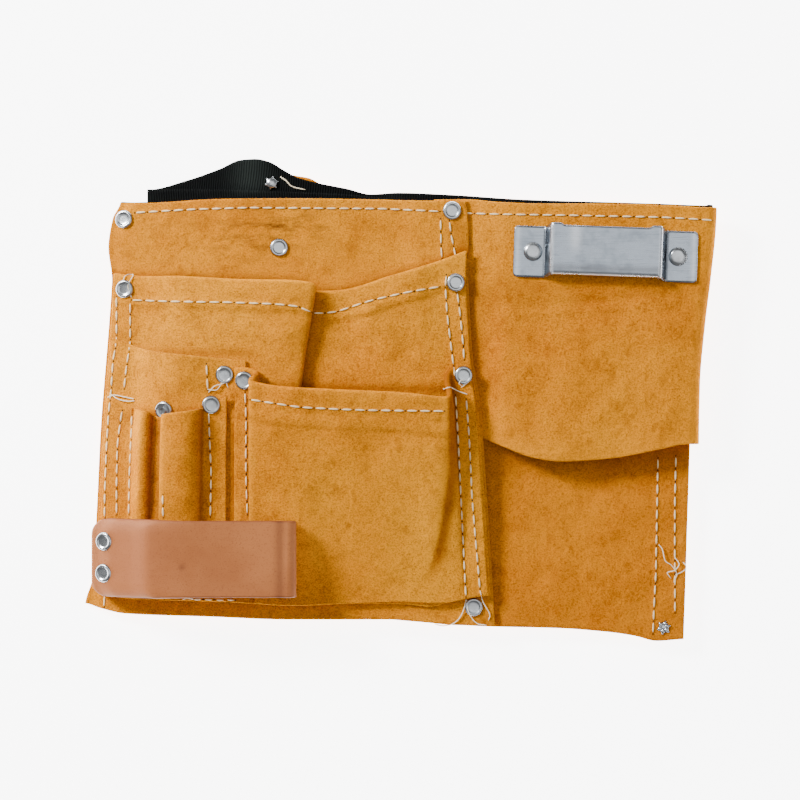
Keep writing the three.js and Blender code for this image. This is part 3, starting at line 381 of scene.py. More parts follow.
    def relief(self, heights: Sequence[tuple[Socket, float, float]]) -> None:
        """Chain bumps into the shader's normal.

        Args:
            heights: for each bump its height output, strength and depth in metres.
        """
        before = None
        for height, strength, depth in heights:
            node = self.add("ShaderNodeBump")
            node.inputs["Strength"].default_value = strength
            node.inputs["Distance"].default_value = depth
            self.link(height, node.inputs["Height"])
            if before is not None:
                self.link(before, node.inputs["Normal"])
            before = node.outputs["Normal"]
        self.link(before, self.shader.inputs["Normal"])


@dataclass(frozen=True)
class SuedeFinish:
    """Split leather with its short nap: mottled colour, worn highs, painted highlights and painted shade."""

    name: str
    body: Colour = (0.66, 0.2, 0.0015)
    light: Colour = (0.84, 0.32, 0.006)
    dark: Colour = (0.24, 0.05, 0.0)
    stained: Colour = (0.16, 0.05, 0.008)
    patch: float = 12.0
    smudge: float = 0.0

    def build(self) -> Material:
        """Make the material."""
        graph = NodeGraph(self.name)
        broad = graph.grain(self.patch, 4.0, 0.6)
        medium = graph.grain(70.0, 5.0, 0.65)
        nap = graph.grain(1150.0, 4.0, 0.75)
        fleck = graph.grain(260.0, 2.0, 0.5, graph.stretch((1.0, 0.55, 1.0)))
        colour = graph.tint(self.body, [
            (broad, 0.36, 0.66, 1.0, self.light),
            (medium, 0.5, 0.72, 0.5, self.dark),
            (medium, 0.46, 0.28, 0.6, self.light),
            (nap, 0.46, 0.66, 0.7, self.dark),
            (nap, 0.5, 0.34, 0.5, self.light),
            (fleck, 0.6, 0.7, 0.3, self.dark),
        ])
        # painted shade: the dark tone laid where the sheet marks shade
        colour = graph.blend(graph.calc("MULTIPLY", graph.attribute("shade"), 0.85), colour, self.dark)
        # the light tone over worn places and painted highlights, where the sheet marks them
        colour = graph.blend(graph.calc("MULTIPLY", graph.attribute("wear_and_highlight"), 0.55), colour, self.light)
        if self.smudge > 0:
            rub = graph.grain(34.0, 6.0, 0.72, graph.stretch((1.0, 2.6, 1.0)))
            mark = graph.calc("MULTIPLY", graph.span(rub, 0.47, 0.62), graph.attribute("stain"))
            stain = graph.calc("MULTIPLY", mark, self.smudge)
            colour = graph.blend(stain, colour, self.stained)
        graph.dress(
            colour, 0.95, 0.04,
            Sheen_Weight=0.02, Sheen_Roughness=0.45, Sheen_Tint=(1.0, 0.55, 0.16, 1.0),
        )
        fibre = graph.grain(2400.0, 3.0, 0.7)
        dents = graph.grain(110.0, 4.0, 0.55)
        graph.relief([(dents, 0.8, 0.002), (nap, 0.8, 0.0008), (fibre, 0.5, 0.0003)])
        return graph.material


@dataclass(frozen=True)
class CutEdgeFinish:
    """The fibrous cut edge of split leather."""

    name: str = "suede_cut_edge"
    body: Colour = (0.34, 0.115, 0.008)
    light: Colour = (0.55, 0.23, 0.03)

    def build(self) -> Material:
        """Make the material."""
        graph = NodeGraph(self.name)
        fibre = graph.grain(1300.0, 4.0, 0.75)
        graph.dress(graph.tint(self.body, [(fibre, 0.35, 0.68, 1.0, self.light)]), 0.95, 0.15)
        graph.relief([(fibre, 0.8, 0.0005)])
        return graph.material


@dataclass(frozen=True)
class StrapFinish:
    """Smooth brown strap leather, painted shade where it bends, a painted highlight on the fold, a burnished
    edge.
    """

    name: str
    body: Colour = (0.33, 0.1, 0.024)
    light: Colour = (0.43, 0.145, 0.04)
    dark: Colour = (0.13, 0.035, 0.009)
    fold_highlight: Colour = (0.62, 0.2, 0.035)

    def build(self) -> Material:
        """Make the material."""
        graph = NodeGraph(self.name)
        cloud = graph.grain(22.0, 4.0, 0.55)
        pore = graph.grain(1250.0, 4.0, 0.7)
        streak = graph.grain(60.0, 3.0, 0.6, graph.stretch((0.35, 4.0, 1.0)))
        colour = graph.tint(self.body, [
            (cloud, 0.36, 0.64, 1.0, self.light),
            (streak, 0.55, 0.75, 0.08, self.dark),
            (pore, 0.54, 0.68, 0.5, self.dark),
        ])
        # painted shade beside the fold, and darker edges and a dark spot
        colour = graph.blend(graph.attribute("shade"), colour, self.dark)
        # painted highlight along the fold
        colour = graph.blend(graph.attribute("wear_and_highlight"), colour, self.fold_highlight)
        graph.dress(colour, 0.62, 0.28)
        graph.relief([(cloud, 0.4, 0.0015), (pore, 0.5, 0.0003)])
        return graph.material


@dataclass(frozen=True)
class WebbingFinish:
    """Black woven webbing with fine ribs across its width."""

    name: str = "black_webbing"
    rib: float = 1.35
    strand: float = 0.62
    hollow: Colour = (0.0015, 0.0017, 0.0018)
    crest: Colour = (0.008, 0.009, 0.009)
    dusty: Colour = (0.016, 0.019, 0.018)
    lit: Colour = (0.03, 0.038, 0.034)

    def build(self) -> Material:
        """Make the material."""
        graph = NodeGraph(self.name)
        along, across = graph.flat_place()
        wobble = graph.calc("MULTIPLY", graph.grain(160.0, 2.0, 0.5), 0.0007)
        place = graph.calc("ADD", along, wobble)
        rib = graph.calc("SINE", graph.calc("MULTIPLY", place, math.tau / (self.rib * MM)), 0.0)
        turn = graph.calc("MULTIPLY", across, math.tau / (self.strand * MM))
        strand = graph.calc("MULTIPLY", graph.calc("SINE", turn, 0.0), 0.22)
        height = graph.calc("ADD", graph.calc("MULTIPLY", rib, 0.5), strand)
        fuzz = graph.grain(2200.0, 3.0, 0.7)
        dust = graph.grain(45.0, 4.0, 0.6)
        colour = graph.tint(self.hollow, [
            (height, -0.5, 0.6, 1.0, self.crest), (dust, 0.5, 0.75, 0.35, self.dusty),
        ])
        # painted highlight: the lit tone where the bulge at the waist catches the light
        graph.dress(graph.blend(graph.attribute("wear_and_highlight"), colour, self.lit), 0.85, 0.04)
        graph.relief([(height, 0.9, 0.00035), (fuzz, 0.3, 0.00012)])
        return graph.material


@dataclass(frozen=True)
class MetalFinish:
    """Plated steel with fine scratches and a little tarnish, with painted shade and highlights where marked.
    """

    name: str
    tone: Colour
    tarnish: Colour
    roughness: float
    scratch: float
    painted_shade: Colour = (0.07, 0.06, 0.055)
    painted_highlight: Colour = (0.95, 0.96, 0.98)

    def build(self) -> Material:
        """Make the material."""
        graph = NodeGraph(self.name)
        cloud = graph.grain(90.0, 5.0, 0.65)
        hair = graph.grain(70.0, 4.0, 0.7, graph.stretch((1.0, 26.0, 1.0)))
        colour = graph.tint(self.tone, [
            (cloud, 0.5, 0.78, 0.6, self.tarnish), (hair, 0.52, 0.7, self.scratch, self.tarnish),
        ])
        # painted shade and painted dark reflection, where the sheet marks shade
        colour = graph.blend(graph.attribute("shade"), colour, self.painted_shade)
        # painted highlights and glints, where the sheet marks them
        colour = graph.blend(graph.attribute("wear_and_highlight"), colour, self.painted_highlight)
        graph.link(colour, graph.shader.inputs["Base Color"])
        rough = graph.span(cloud, 0.3, 0.75, self.roughness * 0.75, self.roughness * 1.5)
        graph.link(rough, graph.shader.inputs["Roughness"])
        graph.set({"Metallic": 1.0})
        graph.relief([(hair, self.scratch * 0.5, 0.00008)])
        return graph.material


@dataclass(frozen=True)
class PlainFinish:
    """One colour with a fine grain, for thread, needle holes and plastic."""

    name: str
    body: Colour
    dark: Colour
    roughness: float = 0.8
    scale: float = 2600.0

    def build(self) -> Material:
        """Make the material."""
        graph = NodeGraph(self.name)
        fine = graph.grain(self.scale, 3.0, 0.65)
        colour = graph.tint(self.dark, [(fine, 0.36, 0.66, 1.0, self.body)])
        graph.dress(colour, self.roughness, 0.25)
        graph.relief([(fine, 0.5, 0.00015)])
        return graph.material


class Finishes:
    """Every material of the apron, made once."""

    def __init__(self) -> None:
        """Make all the materials."""
        self.backing = SuedeFinish("suede_pouch_back", smudge=0.8).build()
        self.pocket = SuedeFinish(
            "suede_pocket", body=(0.7, 0.22, 0.0015), light=(0.88, 0.35, 0.008), patch=9.0
        ).build()
        self.panel = SuedeFinish("suede_centre_panel", body=(0.66, 0.195, 0.0015), patch=7.0).build()
        self.rear = SuedeFinish(
            "suede_rear", body=(0.58, 0.165, 0.001), light=(0.74, 0.25, 0.004), patch=16.0
        ).build()
        self.edge = CutEdgeFinish().build()
        self.strap = StrapFinish("strap_leather").build()
        self.strap_edge = StrapFinish("strap_edge", (0.2, 0.075, 0.035), (0.3, 0.12, 0.055)).build()
        self.webbing = WebbingFinish().build()
        self.clip = MetalFinish("zinc_steel", (0.33, 0.37, 0.42), (0.13, 0.15, 0.18), 0.26, 0.5).build()
        self.nickel = MetalFinish("nickel_plate", (0.46, 0.48, 0.5), (0.2, 0.2, 0.2), 0.24, 0.2).build()
        self.thread = PlainFinish("cream_thread", (1.0, 0.8, 0.48), (0.75, 0.55, 0.28)).build()
        self.pale_thread = PlainFinish("pale_thread", (1.0, 0.88, 0.66), (0.75, 0.62, 0.42)).build()
        # needle holes: a dark tone that stands in for the shade in the holes
        self.hole = PlainFinish("needle_hole", (0.07, 0.025, 0.006), (0.03, 0.01, 0.003)).build()
        self.clasp = PlainFinish(
            "black_plastic", (0.02, 0.02, 0.022), (0.012, 0.012, 0.014), 0.5, 900.0
        ).build()


# Meshes


@dataclass
class Marks:
    """Values a sheet's material reads at each point: lighter worn places and painted highlights, painted
    shade, stains.
    """

    # lightens: worn places and painted highlights
    wear_and_highlight: Optional[Grid] = None
    # darkens: painted shade, and some darker edges and spots
    shade: Optional[Grid] = None
    stain: Optional[Grid] = None


@dataclass
class SheetMesh:
    """A sheet with real thickness, worked out from a grid over its middle surface."""

    name: str
    across: Grid
    down: Grid
    form: Form
    thickness: float
    marks: Optional[Callable[[Grid, Grid, Grid], Marks]] = None
    turned_hem: float = 0.0
    rim: float = 0.32
    rounding: int = 0
    hem_reach: tuple[float, ...] = (5.0, 3.2, 1.4)
    hem_steps: int = 8
    blank: float = 0.1
    flat: tuple[float, float] = field(init=False, default=(0.0, 0.0))
    area: float = field(init=False, default=0.0)

    def normals(self, points: Grid) -> Grid:
        """Unit normals of a grid of points.

        Args:
            points: rows by columns by three.

        Returns:
            A normal for each point, on the side that faces up where the sheet lies flat.
        """
        right = np.empty_like(points)
        right[:, 1:-1] = points[:, 2:] - points[:, :-2]
        right[:, 0] = points[:, 1] - points[:, 0]
        right[:, -1] = points[:, -1] - points[:, -2]
        upward = np.empty_like(points)
        upward[1:-1] = points[:-2] - points[2:]
        upward[0] = points[0] - points[1]
        upward[-1] = points[-2] - points[-1]
        normal = np.cross(right, upward)
        normal /= np.maximum(np.linalg.norm(normal, axis=2, keepdims=True), 1e-12)
        normal[:, 1:-1] += 0.5 * (normal[:, 2:] + normal[:, :-2])
        return normal / np.maximum(np.linalg.norm(normal, axis=2, keepdims=True), 1e-12)

    def turn_hem(self, points: Grid) -> Grid:
        """Fold the first row back behind the sheet.

        Args:
            points: rows by columns by three, the first row at the top edge.

        Returns:
            The points with the rows of the fold before them.
        """
        normal = self.normals(points)[0]
        tangent = points[1] - points[0]
        tangent /= np.maximum(np.linalg.norm(tangent, axis=1, keepdims=True), 1e-12)
        radius, behind = self.turned_hem, points[0] - 2 * self.turned_hem * normal
        rows = [behind + tangent * reach for reach in self.hem_reach]
        centre = points[0] - radius * normal
        for angle in np.linspace(math.pi, 0, self.hem_steps + 1)[:-1]:
            rows.append(centre + radius * (normal * math.cos(angle) - tangent * math.sin(angle)))
        return np.concatenate([np.array(rows), points])

    def measure(self, points: Grid) -> None:
        """Work out the size that the sheet was cut to.

        Args:
            points: rows by columns by three, in millimetres.
        """
        width = np.linalg.norm(np.diff(points, axis=1), axis=2).sum(axis=1).max()
        length = np.linalg.norm(np.diff(points, axis=0), axis=2).sum(axis=0).max()
        first = points[1:, 1:] - points[:-1, :-1]
        second = points[:-1, 1:] - points[1:, :-1]
        self.flat = (width, length)
        self.area = np.linalg.norm(np.cross(first, second), axis=2).sum() / 2

    def travel(self, points: Grid, axis: int) -> Grid:
        """How far along the sheet each point lies.

        Args:
            points: rows by columns by three.
            axis: 1 along the rows, 0 down the columns.

        Returns:
            The distance from the first point.
        """
        steps = np.linalg.norm(np.diff(points, axis=axis), axis=2)
        before = [(0, 0), (0, 0)]
        before[axis] = (1, 0)
        return np.pad(np.cumsum(steps, axis=axis), before)

    def even_lines(self) -> Grid:
        """Space the columns evenly along the folds of the top edge."""
        fine = evenly(900)
        edge = self.form(fine[None, :], np.zeros((1, len(fine))))[0]
        run = np.concatenate([[0], np.cumsum(np.linalg.norm(np.diff(edge, axis=0), axis=1))])
        return np.interp(self.across * run[-1], run, fine)

    def settle(self, points: Grid) -> Grid:
        """Round the sharp folds and keep the rim in place."""
        for _ in range(self.rounding):
            inner = (points[:, :-2] + 2 * points[:, 1:-1] + points[:, 2:]) / 4
            points = np.concatenate([points[:, :1], inner, points[:, -1:]], axis=1)
        return points

    def build(self, face: Material, rim: Material) -> Piece:
        """Make the sheet's object.

        Args:
            face: the material of its two faces.
            rim: the material of its cut edge.

        Returns:
            The finished object.
        """
        u, v = np.meshgrid(self.even_lines() if self.rounding else self.across, self.down)
        points = self.settle(self.form(u, v))
        marks = self.marks(u, v, points) if self.marks else Marks()
        if self.turned_hem:
            points = self.turn_hem(points)
        added = len(points) - len(u)
        self.measure(points)
        rows, columns = points.shape[:2]
        normal = self.normals(points)
        lift = np.full((rows, columns), self.thickness / 2)
        for edge in (lift[0], lift[-1], lift[:, 0], lift[:, -1]):
            edge -= self.rim
        run = self.travel(points, 1)
        fall = self.travel(points, 0)
        bm = bmesh.new()
        bmesh.ops.create_grid(bm, x_segments=columns - 1, y_segments=rows - 1, size=0.5)
        bm.normal_update()
        bmesh.ops.solidify(bm, geom=list(bm.faces), thickness=self.blank)
        bm.verts.index_update()
        flat = np.array([tuple(vertex.co) for vertex in bm.verts])
        column = np.rint((flat[:, 0] + 0.5) * (columns - 1)).astype(int)
        row = np.rint((0.5 - flat[:, 1]) * (rows - 1)).astype(int)
        front = flat[:, 2] > -self.blank / 2
        side = np.where(front, 1.0, -1.0) * lift[row, column]
        place = ((points[row, column] + normal[row, column] * side[:, None]) * MM).tolist()
        for vertex, spot in zip(bm.verts, place):
            vertex.co = spot
        for name in ("wear_and_highlight", "shade", "stain"):
            value = getattr(marks, name)
            value = np.broadcast_to(0.0 if value is None else value, u.shape)
            value = np.concatenate([np.repeat(value[:1], added, axis=0), value])[row, column].tolist()
            layer = bm.verts.layers.float.new(name)
            for vertex, number in zip(bm.verts, value):
                vertex[layer] = number
        uv = bm.loops.layers.uv.new("flat")
        spread = (np.stack([run[row, column], fall[row, column]], axis=1) * MM).tolist()
        for polygon in bm.faces:
            polygon.smooth = True
            sides = {bool(front[vertex.index]) for vertex in polygon.verts}
            polygon.material_index = len(sides) - 1
            for loop in polygon.loops:
                loop[uv].uv = spread[loop.vert.index]
        return finish_mesh(bm, self.name, [face, rim])


def finish_mesh(bm: Mesh, name: str, materials: Sequence[Material]) -> Piece:
    """Turn a bmesh into an object that rides on the apron.

    Args:
        bm: the finished shape, in metres.
        name: the piece's name.
        materials: its materials, in the order of their indices.

    Returns:
        The new object.
    """
    mesh = bpy.data.meshes.new(name)
    bm.to_mesh(mesh)
    bm.free()
    for material in materials:
        mesh.materials.append(material)
    made = bpy.data.objects.new(name, mesh)
    bpy.context.scene.collection.objects.link(made)
    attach(made, BODY)
    log.info("%s: %d faces", name, len(mesh.polygons))
    return made


class Held(Enum):
    """How a sheet lies."""

    LAID = "laid"
    FOLDED = "folded"


def stand_for(made: Piece, node: str) -> None:
    """Say which solid a piece stands for."""
    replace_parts(made, node)


def declare(made: Piece, sheet: SheetMesh, held: Held, rests_on: Sequence[str]) -> None:
    """Log the size that a sheet was cut to.

    Args:
        made: the sheet's object.
        sheet: its mesh, which knows its flat size.
        held: how it lies; not used.
        rests_on: names of the pieces under it.
    """
    width, length = sheet.flat
    area = min(sheet.area, width * length)
    list(rests_on)
    log.info("%s was cut to %.0f by %.0f mm", made.name, width, length)


# Front pouch


POUCH_EDGES = Table(("down", "outer", "inner"), (
    (0, 0, 0), (0.04, -0.018, 0.002), (0.1, -0.024, 0), (0.2, -0.004, -0.01), (0.35, -0.002, -0.012),
    (0.5, -0.002, 0.002), (0.75, 0.006, 0.002), (0.93, 0.012, 0.001), (1, -0.004, 0),
))
POUCH_ENDS = Table(("across", "waist", "hem"), (
    (0, -0.002, -0.035), (0.04, -0.004, -0.024), (0.1, -0.003, -0.012), (0.3, 0.005, -0.006),
    (0.5, 0.006, 0.001), (0.75, 0.003, 0.001), (0.9, 0, 0.014), (1, 0, 0.016),
))
POUCH_LEVELS = Table(("across", "waist", "hem"), (
    (0, 6.4, 1.1), (0.04, 8.8, 3.4), (0.1, 10.6, 5.8), (0.22, 13.8, 9.2),
    (0.4, 15.8, 10), (0.8, 15.8, 10), (0.87, 17.8, 10.2), (1, 17.8, 10.2),
))
UPPER_FORM = Table(("across", "dip", "lift"), (
    (0, -0.024, 0), (0.07, -0.021, 0.02), (0.18, -0.017, 0.4), (0.34, -0.006, 0.72), (0.45, -0.004, 0.96),
    (0.51, -0.003, 1), (0.555, 0.008, 0.86), (0.585, 0.02, 0.3), (0.62, 0.02, 0.24), (0.7, 0.007, 0.38),
    (0.8, -0.022, 0.36), (0.92, -0.056, 0.04), (1, -0.082, 0),
))
UPPER_FOLD = Table(("along", "across", "plain", "dip", "lift"), (
    (0, 0, 0, -0.024, 0), (0.07, 0.07, 0.07, -0.021, 0.02), (0.17, 0.18, 0.18, -0.017, 0.4),
    (0.32, 0.34, 0.34, -0.006, 0.72), (0.42, 0.45, 0.45, -0.004, 0.96), (0.47, 0.51, 0.5, -0.003, 1),
    (0.505, 0.552, 0.53, 0.001, 0.95), (0.53, 0.574, 0.55, 0.004, 0.84), (0.55, 0.573, 0.562, 0.01, 0.6),
    (0.57, 0.554, 0.57, 0.018, 0.36), (0.59, 0.552, 0.58, 0.02, 0.27), (0.612, 0.585, 0.6, 0.02, 0.24),
    (0.64, 0.625, 0.625, 0.02, 0.24), (0.71, 0.7, 0.7, 0.007, 0.38), (0.81, 0.8, 0.8, -0.022, 0.36),
    (0.925, 0.92, 0.92, -0.056, 0.04), (1, 1, 1, -0.082, 0),
))
UPPER_FADE = Table(("down", "lift"), ((0, 1), (0.3, 0.72), (0.6, 0.42), (0.85, 0.12), (1, 0)))
MIDDLE_FORM = Table(("across", "dip", "lift"), (
    (0, -0.02, 0), (0.12, -0.012, 0.02), (0.3, 0.004, 0.75), (0.5, 0.014, 1),
    (0.7, 0.022, 0.5), (0.86, 0.026, 0.02), (1, 0.03, 0),
))
POCKET_FADE = Table(("down", "lift"), ((0, 1), (0.35, 0.8), (0.65, 0.45), (0.9, 0.08), (1, 0)))
SLOT_FORM = Table(("along", "across", "dip", "lift"), (
    (0, 0, 0, 0), (0.05, 0.035, 0, 0), (0.11, 0.075, 0.002, 0.6), (0.18, 0.135, 0.004, 0.95),
    (0.25, 0.2, 0.01, 0.6), (0.3, 0.24, 0.018, 0), (0.36, 0.34, 0.02, 0), (0.42, 0.44, 0.02, 0),
    (0.46, 0.43, 0.018, 0.35), (0.5, 0.345, 0.016, 0.7), (0.54, 0.34, 0.014, 0.96),
    (0.62, 0.45, 0.01, 1.06), (0.72, 0.6, 0.006, 1.04), (0.79, 0.7, 0.003, 0.75),
    (0.84, 0.75, 0, 0), (0.92, 0.88, -0.014, 0), (1, 1, -0.03, 0.03),
))
SLOT_FADE = Table(("down", "lift"), ((0, 1), (0.45, 0.85), (0.65, 0.35), (0.8, 0.12), (1, 0)))
MAIN_FORM = Table(("along", "across", "dip", "lift", "rests"), (
    (0, 0, -0.035, 0, 1), (0.05, 0.05, -0.035, 0, 1), (0.09, 0.09, -0.03, 0, 1),
    (0.12, 0.084, -0.02, 0.28, 1), (0.155, 0.058, -0.01, 0.46, 0.7), (0.19, 0.085, -0.002, 0.58, 0.4),
    (0.3, 0.24, 0.01, 0.82, 0), (0.5, 0.5, 0.016, 0.95, 0), (0.7, 0.76, 0.02, 0.92, 0),
    (0.82, 0.885, 0.024, 0.8, 0), (0.87, 0.903, 0.006, 0.55, 0.3), (0.91, 0.9, -0.02, 0.2, 0.8),
    (0.94, 0.925, -0.05, 0, 1), (1, 1, -0.04, 0, 1),
))
MAIN_FADE = Table(("down", "lift"), ((0, 1), (0.3, 0.88), (0.6, 0.55), (0.85, 0.15), (1, 0)))
MAIN_FOLD = Table(("down", "x"), (
    (-5.3, 24.4), (34, 24.6), (54.6, 22.4), (72.6, 19.6), (85, 16.6), (96, 11.5), (110, 6),
))
MAIN_HEM = Table(("across", "dip"), ((0, 0), (0.25, 0.004), (0.5, -0.003), (0.8, -0.012), (1, -0.034)))


@dataclass(frozen=True)
class Hem:
    """A hem turned back and sewn: how far down its stitches and its inner edge lie."""

    stitch: float
    ridge: float
    raised: float = 1.3
    groove: float = 0.45

    def height(self, depth: Grid, run: Grid) -> Grid:
        """How far the doubled leather stands up."""
        doubled = taper(depth, self.ridge - 0.8, self.ridge + 1.6)
        pucker = 0.75 + 0.25 * np.cos(math.tau * run / STITCH_PITCH)
        return self.raised * doubled - self.groove * pucker * bump_at(depth, self.stitch, 1.5)


@dataclass
class FrontPouch:
    """The front pouch: its back sheet and the four pocket pieces sewn on it in layers."""

    finishes: Finishes
    waist_width: float = 184.0
    hem_width: float = 218.0
    height: float = 222.0
    flare: float = 15.5
    inner_x: float = 35.0
    upper_depth: float = 178.0
    upper_lift: float = 12.0
    middle_depth: float = 143.0
    middle_span: float = 75.0
    middle_lift: float = 6.0
    slot_depth: float = 111.0
    slot_inset: float = 16.4
    slot_to_main: float = 4.0
    slot_lift: float = 8.5
    main_depth: float = 125.0
    main_span: float = 127.0
    main_lift: float = 14.0
    edge_inset: float = 2.4
    hem_line: float = 0.962
    upper_notch: float = 0.034
    belt_zone: float = 0.25
    step: float = 1.6
    edge_bow: float = 1.7
    upper_hem: Hem = Hem(stitch=10.4, ridge=15.6)
    main_hem: Hem = Hem(stitch=13.6, ridge=19.6)

    def __post_init__(self) -> None:
        """Work out the shares that the lengths come to."""
        self.mean_width = (self.waist_width + self.hem_width) / 2
        self.inset = self.edge_inset / self.waist_width
        self.upper_top = 1 - self.upper_depth / self.height
        self.middle_top = 1 - self.middle_depth / self.height
        self.middle_width = self.middle_span / self.mean_width
        self.slot_top = 1 - self.slot_depth / self.height
        self.main_top = 1 - self.main_depth / self.height
        self.main_width = self.main_span / self.mean_width
        self.slot_start = self.slot_inset / self.mean_width
        self.slot_width = self.main_place(0) - self.slot_to_main / self.mean_width - self.slot_start

    def main_place(self, share: Grid) -> Grid:
        """Where a share across the main pocket lies across the pouch."""
        return 1 - self.inset - self.main_width * (1 - share)

    def plan(self, across: Grid, down: Grid) -> tuple[Grid, Grid]:
        """Plan place of a share across and a share down the pouch.

        Args:
            across: 0 at the outer edge, 1 at the inner edge.
            down: 0 at the waist, 1 at the hem.

        Returns:
            The x and y places.
        """
        inner_x = self.inner_x + self.flare * down
        width = lerp(self.waist_width, self.hem_width, down)
        outer = inner_x - width + POUCH_EDGES.read("outer", down) * self.waist_width
        inner = inner_x + POUCH_EDGES.read("inner", down) * self.waist_width
        waist = WAIST_Y + POUCH_ENDS.read("waist", across) * self.height
        hem = WAIST_Y - self.height - POUCH_ENDS.read("hem", across) * self.height
        return lerp(outer, inner, across), lerp(waist, hem, down)

    def level(self, across: Grid, down: Grid) -> Grid:
        """Height of the back sheet's middle over the floor."""
        waist = POUCH_LEVELS.read("waist", across)
        hem = POUCH_LEVELS.read("hem", across)
        return lerp(waist, hem, smoothstep(down, self.belt_zone, 1))

    def place(self, across: Grid, down: Grid, height: Grid) -> Grid:
        """A point over the back sheet.

        Args:
            across: share across the pouch.
            down: share down the pouch.
            height: how far over the back sheet's middle.

        Returns:
            Points, with a slight unevenness that all layers share.
        """
        x, y = self.plan(across, down)
        z = self.level(across, down) + height
        uneven = 0.22 * drift(x, y, 31.0, 3.7) + 0.12 * drift(x, y, 13.0, 9.1)
        free = smoothstep(across, 0.0, 0.12)
        return np.stack([x, y, z + uneven * free], axis=-1)

    def upper_height(self, across: Grid, down: Grid) -> Grid:
        """Height of the upper pocket over the back sheet."""
        fade = UPPER_FADE.read("lift", (down - self.upper_top) / (self.hem_line - self.upper_top))
        return PITCH + UPPER_FORM.read("lift", across) * fade * self.upper_lift

    def middle_height(self, across: Grid, down: Grid) -> Grid:
        """Height of the middle pocket over the back sheet.

        Args:
            across: share across.
            down: share down.

        Returns:
            The height.
        """
        share = (across - self.inset) / self.middle_width
        fade = POCKET_FADE.read("lift", (down - self.middle_top) / (self.hem_line - self.middle_top))
        lift = MIDDLE_FORM.read("lift", share) * fade * self.middle_lift
        return self.upper_height(across, down) + PITCH + np.where(share > 1, 0, lift)

    def main_seat(self, across: Grid, down: Grid) -> Grid:
        """Height at which the main pocket's flanges lie."""
        on_middle = taper(across, self.middle_width + 0.02, self.middle_width + 0.06)
        return lerp(self.upper_height(across, down), self.middle_height(across, down), on_middle) + PITCH

    def upper_form(self, u: Grid, v: Grid) -> Grid:
        """Middle surface of the upper pocket.

        Args:
            u: share across.
            v: share down.

        Returns:
            Its points.
        """
        folded = lerp(UPPER_FOLD.read("across", u), UPPER_FOLD.read("plain", u), smoothstep(v, 0.25, 0.6))
        slant = 0.16 * (v - 0.02) * bump_at(u, 0.56, 0.09) * taper(v, 0.3, 0.7)
        across = lerp(self.inset / 2, 1 - self.inset / 2, folded - slant)
        low = self.hem_line - self.upper_notch * smoothstep(across, 0.84, 0.93)
        top = self.upper_top + UPPER_FOLD.read("dip", u) + self.edge_bow / self.height
        down = lerp(top, low, v)
        x, y = self.plan(across, down)
        fade = UPPER_FADE.read("lift", (down - self.upper_top) / (self.hem_line - self.upper_top))
        own = PITCH + UPPER_FOLD.read("lift", u) * fade * self.upper_lift
        seat = lerp(own, self.upper_height(across, down), smoothstep(v, 0.3, 0.6))
        depth = (down - top) * self.height + self.edge_bow
        hem = self.upper_hem.height(depth, x)
        crumple = drift(x, y, 17.0, 21.0) * 1.3 + drift(x, y, 8.0, 2.2) * 0.4
        crumple = crumple * smoothstep(across, 0.08, 0.3)
        covered = lerp(self.middle_top, self.main_top, smoothstep(across, 0.4, 0.46))
        crumple *= taper(down, covered - 0.05, covered + 0.02)
        crumple *= 1 - bump_at(across, 0.96, 0.06)
        pull = 1.1 * bump_at(across - 0.12 * (down - self.upper_top), 0.66, 0.035)
        pull *= taper(down, 0.34, 0.44)
        return self.place(across, down, seat + hem + crumple - pull)

    def middle_form(self, u: Grid, v: Grid) -> Grid:
        """Middle surface of the middle pocket.

        Args:
            u: share across.
            v: share down.

        Returns:
            Its points.
        """
        across = self.inset + u * self.middle_width
        down = lerp(self.middle_top + MIDDLE_FORM.read("dip", u), self.hem_line, v)
        x, y = self.plan(across, down)
        crumple = drift(x, y, 12.0, 5.0) * 0.5 * taper(v, 0.15, 0.3) * smoothstep(u, 0.1, 0.3)
        return self.place(across, down, self.middle_height(across, down) + crumple)

    def slot_form(self, u: Grid, v: Grid) -> Grid:
        """Middle surface of the tool slot panel.

        Args:
            u: share across.
            v: share down.

        Returns:
            Its points.
        """
        across = self.slot_start + self.slot_width * SLOT_FORM.read("across", u)
        down = lerp(self.slot_top + SLOT_FORM.read("dip", u), self.hem_line, v)
        lift = SLOT_FORM.read("lift", u) * SLOT_FADE.read("lift", v) * self.slot_lift
        x, y = self.plan(across, down)
        front = np.maximum(SLOT_FORM.read("lift", u), 0)
        crumple = drift(x, y, 9.0, 14.0) * 0.7 * front * taper(v, 0.4, 0.6)
        curl = 3.2 * taper(u, 0.0, 0.08) * taper(v, 0.0, 0.1)
        curl = curl + 2.4 * smoothstep(u, 0.93, 1.0) * taper(v, 0.0, 0.07)
        return self.place(across, down, self.middle_height(across, down) + PITCH + lift + crumple + curl)

